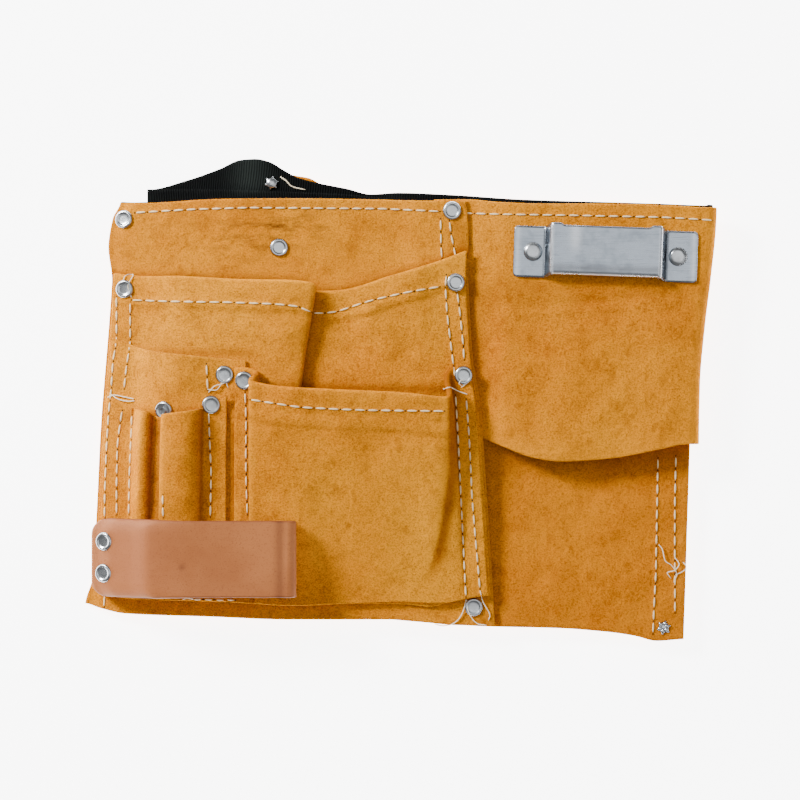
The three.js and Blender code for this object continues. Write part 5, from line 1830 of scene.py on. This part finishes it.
@dataclass
class TapeClip:
    """The bent steel clip: riveted tabs, steps up to a bridge, a notch and a rolled lip."""

    finishes: Finishes
    length: float = 97.0
    width: float = 27.0
    bridge: float = 58.0
    steel: float = 1.0
    rise: float = 6.0
    slope: float = 2.5
    lip: float = 2.2
    lean: float = 2.0
    corner: float = 2.2
    notch: float = 45.0
    notch_depth: float = 1.2
    turn: float = -2.0
    x: float = 108.5
    drop: float = 28.5
    base: float = 20.85
    flat_rows: float = 0.78
    roll: float = 150.0

    def side(self, x: Grid) -> Grid:
        """Height of the steel along the clip, with rounded bends."""
        half = self.bridge / 2 + self.slope / 2
        return self.rise * taper(np.abs(x), half - 2.1, half + 2.1)

    def form(self, u: Grid, v: Grid) -> Grid:
        """Middle surface of the clip, its lower rows rolled into the lip along the bridge.

        Args:
            u: share across.
            v: share down.

        Returns:
            Its points.
        """
        half = self.length / 2
        x = lerp(-half, half, u)
        deep = self.width / 2
        reach = np.clip(np.abs(x) - (half - self.corner), 0, self.corner)
        rounding = self.corner - np.sqrt(np.clip(self.corner**2 - reach**2, 0, None))
        notched = smoothstep(np.abs(x), self.notch / 2 + self.notch_depth, self.notch / 2)
        top = deep - rounding - self.notch_depth * notched
        on_bridge = taper(np.abs(x), self.bridge / 2 - 1.4, self.bridge / 2 - 0.4)
        raised = self.side(x) / self.rise
        face = np.clip(v / self.flat_rows, 0, 1)
        y = lerp(top, -deep + rounding + self.lip * on_bridge, face)
        past = np.clip((v - self.flat_rows) / (1 - self.flat_rows), 0, 1)
        roll = past * math.radians(self.roll) * on_bridge
        y = y - self.lip * np.sin(roll) + self.lean * raised
        z = self.side(x) + self.steel / 2 - self.lip * (1 - np.cos(roll))
        crown = 0.3 * bump_at(x, 0, 24) * (1 - face) * raised
        return np.stack([x, y, z + crown], axis=-1)

    def placed(self, u: Grid, v: Grid) -> Grid:
        """The clip's middle surface where it is riveted.

        Args:
            u: share across.
            v: share down.

        Returns:
            Its points.
        """
        points = self.form(u, v)
        angle = math.radians(self.turn)
        x = points[..., 0] * math.cos(angle) - points[..., 1] * math.sin(angle)
        y = points[..., 0] * math.sin(angle) + points[..., 1] * math.cos(angle)
        return np.stack([self.x + x, WAIST_Y - self.drop + y, self.base + points[..., 2]], axis=-1)

    def marks(self, u: Grid, v: Grid, points: Grid) -> Marks:
        """Painted highlights on the lip and the bridge, painted shade and dark reflection by the lip, painted
        glints.

        Args:
            u: share across.
            v: share down.
            points: its points.

        Returns:
            Its marks.
        """
        half = self.length / 2
        raised = self.side(lerp(-half, half, u)) / self.rise
        # painted highlight along the lip
        painted_highlight = bump_at(v, 0.84, 0.022) * raised
        # painted shade above the lip and a painted dark reflection under it
        low = 0.42 * bump_at(v, 0.74, 0.07) * raised + 0.75 * smoothstep(v, 0.88, 0.94) * raised
        # painted highlight streak on the bridge
        streak = 0.3 * bump_at(u, 0.33, 0.03) * taper(v, 0.2, 0.6) * raised
        inward = np.minimum(u, 1 - u)
        # painted glints at the bends and near the ends
        glint = 0.4 * bump_at(inward, 0.205, 0.008) + 0.25 * bump_at(inward, 0.02, 0.012)
        return Marks(wear_and_highlight=np.clip(painted_highlight + streak + glint, 0, 1), shade=np.clip(low, 0, 1))

    def build(self) -> None:
        """Build the clip, with closer lines at its bends and ends."""
        bends = [0.2 + 0.05 * evenly(12) - 0.025, 0.8 + 0.05 * evenly(12) - 0.025]
        ends = [0.024 * evenly(6), 1 - 0.024 * evenly(6)]
        lines = np.unique(np.round(np.concatenate([evenly(64), *bends, *ends]), 5))
        flat = self.flat_rows
        rows = np.unique(np.concatenate([flat * evenly(22), flat + (1 - flat) * evenly(16)]))
        sheet = SheetMesh("tape_clip_steel", lines, rows, self.placed, self.steel, self.marks, rim=0.12)
        made = sheet.build(self.finishes.clip, self.finishes.clip)
        stand_for(made, "tape_clip")


# Surfaces that carry rivets and stitches


class Surface:
    """Finds the top of finished pieces under a place in the plan."""

    def __init__(self, pieces: Sequence[Piece]) -> None:
        """Gather the pieces' faces.

        Args:
            pieces: the finished pieces to look at.
        """
        self.trees = {}
        for piece in pieces:
            places = [vertex.co.copy() for vertex in piece.data.vertices]
            faces = [tuple(polygon.vertices) for polygon in piece.data.polygons]
            self.trees[piece.name] = BVHTree.FromPolygons(places, faces)

    def hit(self, start: Vector, way: Vector, names: Sequence[str] = ()) -> Optional[Hit]:
        """The first face that a ray meets.

        Args:
            start: where it starts, in metres.
            way: its direction.
            names: pieces to look at, or none for all.

        Returns:
            The place and its normal, or None.
        """
        best = None
        for name, tree in self.trees.items():
            if names and name not in names:
                continue
            place, normal, _, reach = tree.ray_cast(start, way)
            if place is not None and (best is None or reach < best[2]):
                best = (place, normal if normal.dot(way) < 0 else -normal, reach)
        return None if best is None else (best[0], best[1])

    def above(self, x: float, y: float, names: Sequence[str] = ()) -> Optional[Hit]:
        """The top surface over a plan place in millimetres."""
        return self.hit(Vector((x * MM, y * MM, 0.2)), Vector((0, 0, -1)), names)


def axis_turn(axis: Vector) -> Matrix:
    """The turn that stands a shape's z axis along another."""
    return Vector((0, 0, 1)).rotation_difference(axis).to_matrix().to_4x4()


class ClinchStyle(Enum):
    """What shows of a rivet's clinched end."""

    RING = "ring"
    STAR = "star"


RINGED_CAP = (
    (0, 0.74), (0.3, 0.72), (0.5, 0.74), (0.6, 0.82), (0.68, 1.08), (0.77, 1.22), (0.87, 1.08),
    (0.95, 0.66),
)
DOMED_CAP = ((0, 1.5), (0.3, 1.49), (0.52, 1.44), (0.66, 1.32), (0.76, 1.12), (0.86, 0.8), (0.94, 0.46))
CAP_RIM = ((0.995, 0.22), (0.98, 0.02), (0.9, 0))


@dataclass
class Rivet:
    """A capped rivet, set where its solid is, with its cap or its clinched star on the leather."""

    node: str
    finishes: Finishes
    surface: Surface
    clinch: ClinchStyle = ClinchStyle.RING
    domed: bool = False
    cap_radius: float = 5.0
    shank_radius: float = 1.6
    clinch_radius: float = 3.0
    petals: int = 6
    segments: int = 32

    def seat(self) -> tuple[Vector, Vector, float]:
        """Read the rivet's seat from its solid.

        Returns:
            The foot of the cap, the direction out of the cap and the length down to the clinch.
        """
        mesh = frame["nodes"][self.node].data
        places = np.unique(np.round([tuple(v.co) for v in mesh.vertices], 6), axis=0) / MM
        centre = places.mean(axis=0)
        values, vectors = np.linalg.eigh(np.cov((places - centre).T))
        odd = 0 if abs(values[1] - values[2]) < abs(values[0] - values[1]) else 2
        axis = vectors[:, odd]
        heights = (places - centre) @ axis
        radii = np.linalg.norm(places - centre - np.outer(heights, axis), axis=1)
        rim = heights[radii > self.cap_radius * 0.95]
        if rim.mean() < 0:
            axis, heights, rim = -axis, -heights, -rim
        foot = centre + axis * rim.min()
        wide = heights[(radii > self.clinch_radius) & (heights < rim.min() - 0.5)]
        return Vector(foot), Vector(axis), float(rim.min() - wide.max())

    def spin(self, bm: Mesh, profile: Sequence[tuple[float, float]], turn: Matrix) -> None:
        """Spin a profile round the rivet's axis.

        Args:
            bm: the mesh to add it to.
            profile: radius and height of each point, from the top down.
            turn: places the axis.
        """
        points = [bm.verts.new((radius * MM, 0, height * MM)) for radius, height in profile]
        lines = [bm.edges.new(pair) for pair in zip(points[:-1], points[1:])]
        bmesh.ops.spin(
            bm, geom=points + lines, cent=(0, 0, 0), axis=(0, 0, 1), angle=math.tau,
            steps=self.segments, use_merge=True,
        )
        bmesh.ops.remove_doubles(bm, verts=list(bm.verts), dist=1e-6)
        bmesh.ops.recalc_face_normals(bm, faces=list(bm.faces))
        bmesh.ops.transform(bm, matrix=turn, verts=list(bm.verts))

    def add_part(self, into: Mesh, part: Mesh) -> None:
        """Join one finished part into the rivet's mesh.

        Args:
            into: the rivet's mesh.
            part: the part, which is freed.
        """
        mesh = bpy.data.meshes.new("part")
        part.to_mesh(mesh)
        part.free()
        into.from_mesh(mesh)
        bpy.data.meshes.remove(mesh)

    def cap_profile(self) -> list[tuple[float, float]]:
        """A flat dished middle in a raised ring, or a plain dome, down to the shank."""
        shank = [(self.shank_radius, 0), (self.shank_radius, -1.2), (0, -1.2)]
        top = DOMED_CAP if self.domed else RINGED_CAP
        return [(self.cap_radius * share, height) for share, height in top + CAP_RIM] + shank

    def petal(self, bm: Mesh, angle: float) -> None:
        """Add one bent petal of the star.

        Args:
            bm: the mesh to add it to.
            angle: the direction that it points in, in radians.
        """
        start = len(bm.verts)
        fresh = bmesh.ops.create_grid(bm, x_segments=6, y_segments=4, size=0.5)["verts"]
        for vertex in fresh:
            along, side = vertex.co.x + 0.5, vertex.co.y * 2
            out = 0.7 + 3.2 * along
            half = 0.95 * (1 - 0.55 * along**2)
            height = 0.15 + 0.95 * math.sin(math.pi * (0.15 + 0.8 * along)) - 0.25 * side**2
            vertex.co = (out * MM, side * half * MM, height * MM)
        faces = [polygon for polygon in bm.faces if polygon.verts[0] in fresh]
        bmesh.ops.solidify(bm, geom=faces, thickness=0.35 * MM)
        bm.verts.ensure_lookup_table()
        bmesh.ops.rotate(bm, cent=(0, 0, 0), matrix=Matrix.Rotation(angle, 3, "Z"), verts=bm.verts[start:])

    def star(self) -> Mesh:
        """The clinched end's petals, opened out round the axis."""
        star = bmesh.new()
        for i in range(self.petals):
            self.petal(star, math.tau * i / self.petals + 0.3)
        return star

    def build(self) -> None:
        """Build the rivet: its cap on the leather, its shank, and the star where it shows."""
        foot, axis, stack = self.seat()
        upright = axis_turn(axis)
        seat = foot * MM
        hit = self.surface.hit((foot + axis * 9) * MM, -axis)
        if hit is not None and (hit[0] - seat).length < 4 * MM and axis.z > 0:
            seat = hit[0] + axis * 0.18 * MM
        rivet, cap, shank = bmesh.new(), bmesh.new(), bmesh.new()
        self.spin(cap, self.cap_profile(), Matrix.Translation(seat) @ upright)
        self.add_part(rivet, cap)
        length, radius = stack + 0.4, self.shank_radius
        ring = [(self.clinch_radius, -length), (2.6, -length - 0.8), (0, -length - 0.8)]
        rod = [(radius, 0), (radius, -length), *ring]
        self.spin(shank, rod, Matrix.Translation(foot * MM) @ upright)
        self.add_part(rivet, shank)
        if self.clinch is ClinchStyle.STAR:
            star = self.star()
            found = self.surface.hit((foot - axis * 20) * MM, axis)
            base = found[0] - axis * 0.1 * MM if found else (foot - axis * (stack + 0.3)) * MM
            placed = Matrix.Translation(base) @ axis_turn(-axis)
            bmesh.ops.transform(star, matrix=placed, verts=list(star.verts))
            self.add_part(rivet, star)
        for polygon in rivet.faces:
            polygon.smooth = True
        made = finish_mesh(rivet, self.node.replace("rivet", "nickel_rivet"), [self.finishes.nickel])
        stand_for(made, self.node)


# Stitches and loose thread


@dataclass(frozen=True)
class StitchRow:
    """A row of stitches along plan points on named pieces."""

    name: str
    pieces: tuple[str, ...]
    points: tuple[tuple[float, float], ...]
    pitch: float = STITCH_PITCH
    length: float = 5.8


STITCH_ROWS = tuple(StitchRow(*row) for row in (
    ("waist", (BACK,), ((-140.5, 99.5), (-110, 101), (-79.5, 101.8), (-8, 101.2), (21.7, 99.6))),
    ("panel_waist", (PANEL,), ((33, 99), (53, 98.1), (90.1, 97.5), (138.3, 96.5), (166, 94.9))),
    ("inner_a_top", (BACK,), ((21.5, 95.4), (21.7, 81.1), (22.3, 73.7))),
    ("inner_a_middle", LAYERS, ((24.4, 65.7), (23.9, 60.4), (24.9, 45.1), (29.2, 10.6))),
    ("inner_a_low", LAYERS, ((29.2, 2.1), (30.7, -21.2), (32.3, -53), (33.9, -84.8), (35, -104.9))),
    ("inner_b_top", (BACK,), ((26.2, 94.3), (27, 87.5), (28.1, 82.7), (29.7, 74.2))),
    ("inner_b_middle", LAYERS, ((30.2, 56.7), (31.8, 45.1), (33.4, 29.2), (33.9, 20.1))),
    ("inner_b_low", LAYERS, ((35, 0), (36.6, -21.2), (38.2, -53), (40.3, -76.9), (42.4, -100.7))),
    ("outer_a", LAYERS, (
        (-150.5, 54.6), (-150.5, 29.7), (-152.1, 22.3), (-153.2, 6.4), (-154.8, -8.5), (-156.1, -29.2),
        (-156.9, -49.3), (-157.1, -63.6),
    )),
    ("outer_b_top", LAYERS, ((-143.1, 51.4), (-143.1, 28.6), (-145.2, 15.9), (-146.3, 5.3))),
    ("outer_b_low", LAYERS, ((-147.4, -6), (-147.9, -8.5), (-150, -23.9), (-150.5, -44), (-150.5, -61.5))),
    ("outer_hem", LAYERS, ((-157.5, -104.4), (-158, -113.5))),
    ("upper_hem", (UPPER,), (
        (-142, 53), (-118.2, 51.9), (-92.8, 51.4), (-66.8, 50.4), (-54.1, 49.3), (-44.5, 45.3), (-33.4, 46.6),
        (-15.4, 52.5), (3.7, 56.7), (21.7, 59.9),
    )),
    ("main_hem", (MAIN,), ((-78, 0.2), (-53, -3.7), (-31.8, -4.8), (-17.5, -5.3), (23.9, -5.8))),
    ("flange", (MAIN,), ((-81.4, 3.7), (-80.9, -8.5), (-81.1, -29.2), (-81.1, -44), (-80.5, -61.5))),
    ("slot_left", (SLOTS,), ((-141.5, -1.6), (-142, -19.1), (-143.1, -39.2), (-143.6, -61.5))),
    ("slot_middle", (SLOTS,), ((-124.6, -50), (-124.6, -62.5))),
    ("middle_right", (MIDDLE,), ((-101.8, 18.6), (-101.2, 4.4))),
    ("slot_right", (SLOTS,), ((-100.7, -6.9), (-100.2, -23.9), (-99.6, -37.1), (-100.2, -62.5))),
    ("pocket_bottom", LAYERS, ((-109.2, -105.5), (-85.9, -106)), 5.4, 4.2),
    ("rear_a", (REAR,), ((137.3, -31.3), (136.7, -64.7), (136.2, -91.7), (135.2, -110.2), (134.6, -125))),
    ("rear_b", (REAR,), ((146.8, -30.2), (146.3, -54.1), (146.3, -86.4), (146.3, -114))),
))


@dataclass(frozen=True)
class ThreadTail:
    """A loose end of thread: plan points with a height over the leather."""

    name: str
    points: tuple[tuple[float, float, float], ...]
    radius: float = 0.28


THREAD_TAILS = tuple(ThreadTail(*tail) for tail in (
    ("hem_a", (
        (35, -106, 0.3), (33.6, -112, 1.2), (30.2, -117.4, 0.8), (24, -120.4, 0.4), (18.6, -119.6, 0.6),
    )),
    ("hem_b", ((35.4, -106, 0.3), (36.6, -113, 1.6), (40.6, -118.4, 1), (46, -119.6, 0.6))),
    ("hem_c", ((42.4, -101, 0.3), (44, -107, 1.4), (47.6, -113.6, 1), (47, -117, 0.4))),
    ("tack_a", ((33, 7, 0.4), (31.2, 8.8, 1.6), (32.6, 10.4, 1), (34.4, 8.4, 0.6), (32.2, 6.6, 0.5))),
    ("tack_b", ((22.8, 5.6, 0.4), (26.4, 6.6, 0.5), (31, 4.6, 0.5), (35.6, 3, 0.4)), 0.34),
    ("slot_a", ((-141, 0.6, 0.4), (-146, 1.6, 1.2), (-151.6, 2.6, 0.8), (-155.4, 1.4, 0.4)), 0.34),
    ("slot_b", ((-140.6, -0.4, 0.4), (-145, -0.6, 1.6), (-149.8, 0.6, 1), (-153.6, 3.2, 0.5)), 0.3),
    ("corner_a", ((-100.8, 4, 0.3), (-97.4, 7.4, 1), (-93.4, 8.6, 1.2), (-89.4, 11.4, 0.6))),
    ("corner_b", ((-101.2, 5.6, 0.3), (-96.4, 5.4, 1.2), (-92.6, 10.2, 1), (-90.4, 6.4, 0.5))),
    ("upper_loop", (
        (-142.4, 54.4, 0.4), (-144.2, 60.6, 1), (-141.6, 66.2, 0.9), (-145.8, 65.8, 1), (-147.4, 60, 0.4),
    )),
    ("bottom_end", ((-109.4, -105.4, 0.3), (-112.6, -105, 0.8), (-115.2, -105.6, 0.4))),
    ("rear_a", (
        (137.8, -77, 0.4), (139.6, -79.6, 1.2), (141, -85.4, 2), (144.4, -88, 1.2),
        (147.2, -92.4, 0.8), (145.6, -97, 0.4),
    )),
    ("rear_b", (
        (146.4, -84, 0.4), (148.4, -87.4, 1.6), (145.8, -90.6, 2.2), (142.2, -91.8, 1.2), (144.2, -95, 0.5),
    )),
    ("rear_c", ((146.6, -93, 0.3), (149.6, -91.6, 1), (152.4, -89.2, 1), (150.6, -86.2, 0.6))),
    ("belt_a", ((-63.6, 118.7, 0.5), (-60.2, 116.2, 1.4), (-57.2, 113.4, 1.2), (-50.4, 111.8, 0.5)), 0.34),
))


@dataclass
class Sewing:
    """All the stitches with their needle holes, and the loose thread ends."""

    finishes: Finishes
    surface: Surface
    thread: float = 0.54
    fullest: float = 0.84
    tail_steps: int = 28
    tail_sides: int = 6

    def walk(self, row: StitchRow) -> list[tuple[Vector, Vector]]:
        """Step a row's plan line into stitches.

        Args:
            row: the row to step along.

        Returns:
            The plan ends of each stitch, in millimetres.
        """
        points = np.array(row.points, float)
        lengths = np.concatenate([[0], np.cumsum(np.linalg.norm(np.diff(points, axis=0), axis=1))])
        count = max(1, round(lengths[-1] / row.pitch))
        pitch = lengths[-1] / count
        starts = pitch * np.arange(count)
        ends = starts + min(row.length, pitch * self.fullest)
        places = [
            [Vector((*spot, 0)) for spot in zip(*(np.interp(at, lengths, points[:, k]) for k in (0, 1)))]
            for at in (starts, ends)
        ]
        return list(zip(*places))

    def stitch(self, bm: Mesh, start: Vector, end: Vector, normal: Vector) -> None:
        """Add one stitch.

        Args:
            bm: the mesh to add it to.
            start: its first end on the leather, in metres.
            end: its other end.
            normal: the leather's normal between them.
        """
        along = (end - start).normalized()
        side = normal.cross(along).normalized()
        turn = Matrix((along, side, along.cross(side))).transposed().to_4x4()
        middle = (start + end) / 2 + normal * 0.3 * MM
        size = Matrix.Diagonal(((end - start).length / 2, self.thread * MM, self.thread * 0.9 * MM, 1))
        bmesh.ops.create_uvsphere(
            bm, u_segments=8, v_segments=5, radius=1.0, matrix=Matrix.Translation(middle) @ turn @ size
        )

    def hole(self, bm: Mesh, place: Vector, normal: Vector) -> None:
        """Add one needle hole as a sunken cup, dark as painted shade in the hole.

        Args:
            bm: the mesh to add it to.
            place: where it is, in metres.
            normal: the leather's normal there.
        """
        made = bmesh.ops.create_cone(
            bm, cap_ends=True, segments=7, radius1=0.3 * MM, radius2=0.42 * MM, depth=0.14 * MM,
            matrix=Matrix.Translation(place + normal * 0.06 * MM) @ axis_turn(normal),
        )
        for vertex in made["verts"]:
            for polygon in vertex.link_faces:
                polygon.material_index = 1

    def build_row(self, row: StitchRow) -> None:
        """Build one row of stitches on the leather that carries it.

        Args:
            row: the row to build.
        """
        bm = bmesh.new()
        for first, second in self.walk(row):
            start = self.surface.above(first.x, first.y, row.pieces)
            end = self.surface.above(second.x, second.y, row.pieces)
            if start is None or end is None or (start[0] - end[0]).length > 2 * row.pitch * MM:
                continue
            normal = (start[1] + end[1]).normalized()
            reach = (end[0] - start[0]).normalized() * 0.5 * MM
            self.hole(bm, start[0] - reach, start[1])
            self.hole(bm, end[0] + reach, end[1])
            self.stitch(bm, start[0], end[0], normal)
        for polygon in bm.faces:
            polygon.smooth = True
        finish_mesh(bm, f"stitches_{row.name}", [self.finishes.thread, self.finishes.hole])

    def tail_path(self, tail: ThreadTail) -> list[Vector]:
        """Bend a thread end smoothly through its points, over the leather.

        Args:
            tail: the thread end.

        Returns:
            Places along it, in metres.
        """
        points = np.array(tail.points, float)
        dense = evenly(self.tail_steps) * (len(points) - 1)
        spot = np.clip(dense.astype(int), 0, len(points) - 2)
        t = (dense - spot)[:, None]
        padded = np.concatenate([[2 * points[0] - points[1]], points, [2 * points[-1] - points[-2]]])
        p0, p1, p2, p3 = (padded[spot + k] for k in range(4))
        square, cube = 2 * p0 - 5 * p1 + 4 * p2 - p3, 3 * p1 - p0 - 3 * p2 + p3
        path = 0.5 * (2 * p1 + (p2 - p0) * t + square * t**2 + cube * t**3)
        places = []
        for x, y, height in path:
            under = self.surface.above(x, y)
            z = under[0].z if under else 0.004
            places.append(Vector((x * MM, y * MM, z + height * MM)))
        eased = zip(places, places[1:], places[2:])
        inner = [Vector((b.x, b.y, (a.z + b.z + c.z) / 3)) for a, b, c in eased]
        return [places[0], *inner, places[-1]]

    def build_tail(self, tail: ThreadTail) -> None:
        """Build one loose thread end as a bent tube.

        Args:
            tail: the thread end.
        """
        path = self.tail_path(tail)
        last = len(path) - 1
        bm = bmesh.new()
        before: list[bmesh.types.BMEdge] = []
        for i, place in enumerate(path):
            way = (path[min(i + 1, last)] - path[max(i - 1, 0)]).normalized()
            ring = bmesh.ops.create_circle(
                bm, segments=self.tail_sides, radius=tail.radius * MM * (1 if i < last - 1 else 0.7),
                matrix=Matrix.Translation(place) @ axis_turn(way), cap_ends=i in (0, last),
            )
            edges = list({edge: None for vertex in ring["verts"] for edge in vertex.link_edges})
            if before:
                bmesh.ops.bridge_loops(bm, edges=before + edges)
            before = edges
        bmesh.ops.recalc_face_normals(bm, faces=list(bm.faces))
        for polygon in bm.faces:
            polygon.smooth = True
        finish_mesh(bm, f"thread_end_{tail.name}", [self.finishes.pale_thread])

    def build(self) -> None:
        """Build every row and every loose end."""
        for row in STITCH_ROWS:
            self.build_row(row)
        for tail in THREAD_TAILS:
            self.build_tail(tail)


# Floor, light and camera


@dataclass
class Studio:
    """A pale floor, soft lights and a camera straight above."""

    width: float = 424.0
    lens: float = 135.0
    sensor: float = 36.0
    look_height: float = 0.015
    glow: float = 7.0

    def camera(self) -> None:
        """Put the camera straight above, with the waist edge at the top of the picture."""
        data = bpy.data.cameras.new("camera")
        data.lens = self.lens
        data.sensor_width = self.sensor
        made = bpy.data.objects.new("camera", data)
        reach = self.width * MM * self.lens / self.sensor
        made.location = (0.0, 0.0, self.look_height + reach)
        bpy.context.scene.collection.objects.link(made)
        bpy.context.scene.camera = made

    def floor(self) -> None:
        """Lay a pale floor under the apron."""
        graph = NodeGraph("pale_floor")
        graph.set({
            "Base Color": (0.92, 0.92, 0.92, 1.0),
            "Roughness": 0.9,
            "Specular IOR Level": 0.1,
            "Emission Color": (1.0, 1.0, 1.0, 1.0),
            "Emission Strength": self.glow,
        })
        bm = bmesh.new()
        bmesh.ops.create_grid(bm, x_segments=2, y_segments=2, size=2.5)
        mesh = bpy.data.meshes.new("floor")
        bm.to_mesh(mesh)
        bm.free()
        mesh.materials.append(graph.material)
        made = bpy.data.objects.new("floor", mesh)
        made.location = (0, 0, -0.0003)
        bpy.context.scene.collection.objects.link(made)

    def light(self, name: str, place: Sequence[float], size: float, power: float) -> None:
        """Add one soft light that looks at the apron.

        Args:
            name: the light's name.
            place: where it hangs, in metres.
            size: the side of its square.
            power: its strength in watts.
        """
        data = bpy.data.lights.new(name, "AREA")
        data.size = size
        data.energy = power
        made = bpy.data.objects.new(name, data)
        made.location = place
        made.rotation_euler = (Vector((0, 0, 0)) - Vector(place)).to_track_quat("-Z", "Y").to_euler()
        bpy.context.scene.collection.objects.link(made)

    def build(self) -> None:
        """Build the floor, the lights and the camera."""
        self.camera()
        self.floor()
        self.light("key", (-1.5, 1.1, 1.15), 0.5, 94.0)
        self.light("fill", (0.8, -0.3, 1.1), 1.2, 3.0)
        self.light("top", (0.0, 0.3, 1.9), 1.6, 12.0)
        world = bpy.data.worlds.new("studio")
        world.use_nodes = True
        world.node_tree.nodes["Background"].inputs["Color"].default_value = (1.0, 1.0, 1.0, 1.0)
        world.node_tree.nodes["Background"].inputs["Strength"].default_value = 0.24
        bpy.context.scene.world = world


STAR_RIVETS = ("rivet_rear_waist", "rivet_rear_hem")


def main() -> None:
    """Build the apron's pieces in order, from the back forwards."""
    logging.basicConfig(level=logging.INFO, format="%(message)s")
    finishes = Finishes()
    Studio().build()
    pouch = FrontPouch(finishes)
    panel = CentrePanel(finishes, pouch)
    rear = RearPouch(finishes)
    rear.build()
    WaistBelt(finishes, pouch, panel, rear).build()
    panel.build()
    pouch.build()
    HammerLoop(finishes, pouch).build()
    TapeClip(finishes).build()
    clasp = frame["nodes"]["belt_clasp"]
    clasp.data.materials.clear()
    clasp.data.materials.append(finishes.clasp)
    carriers = [piece for piece in bpy.context.scene.objects if piece.get("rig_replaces")]
    surface = Surface(carriers)
    for node in sorted(name for name in frame["nodes"] if name.startswith("rivet_")):
        style = ClinchStyle.STAR if node in STAR_RIVETS else ClinchStyle.RING
        Rivet(node, finishes, surface, style, domed="clip" in node).build()
    Sewing(finishes, surface).build()
    bpy.context.view_layer.update()


if __name__ == "__main__":
    main()
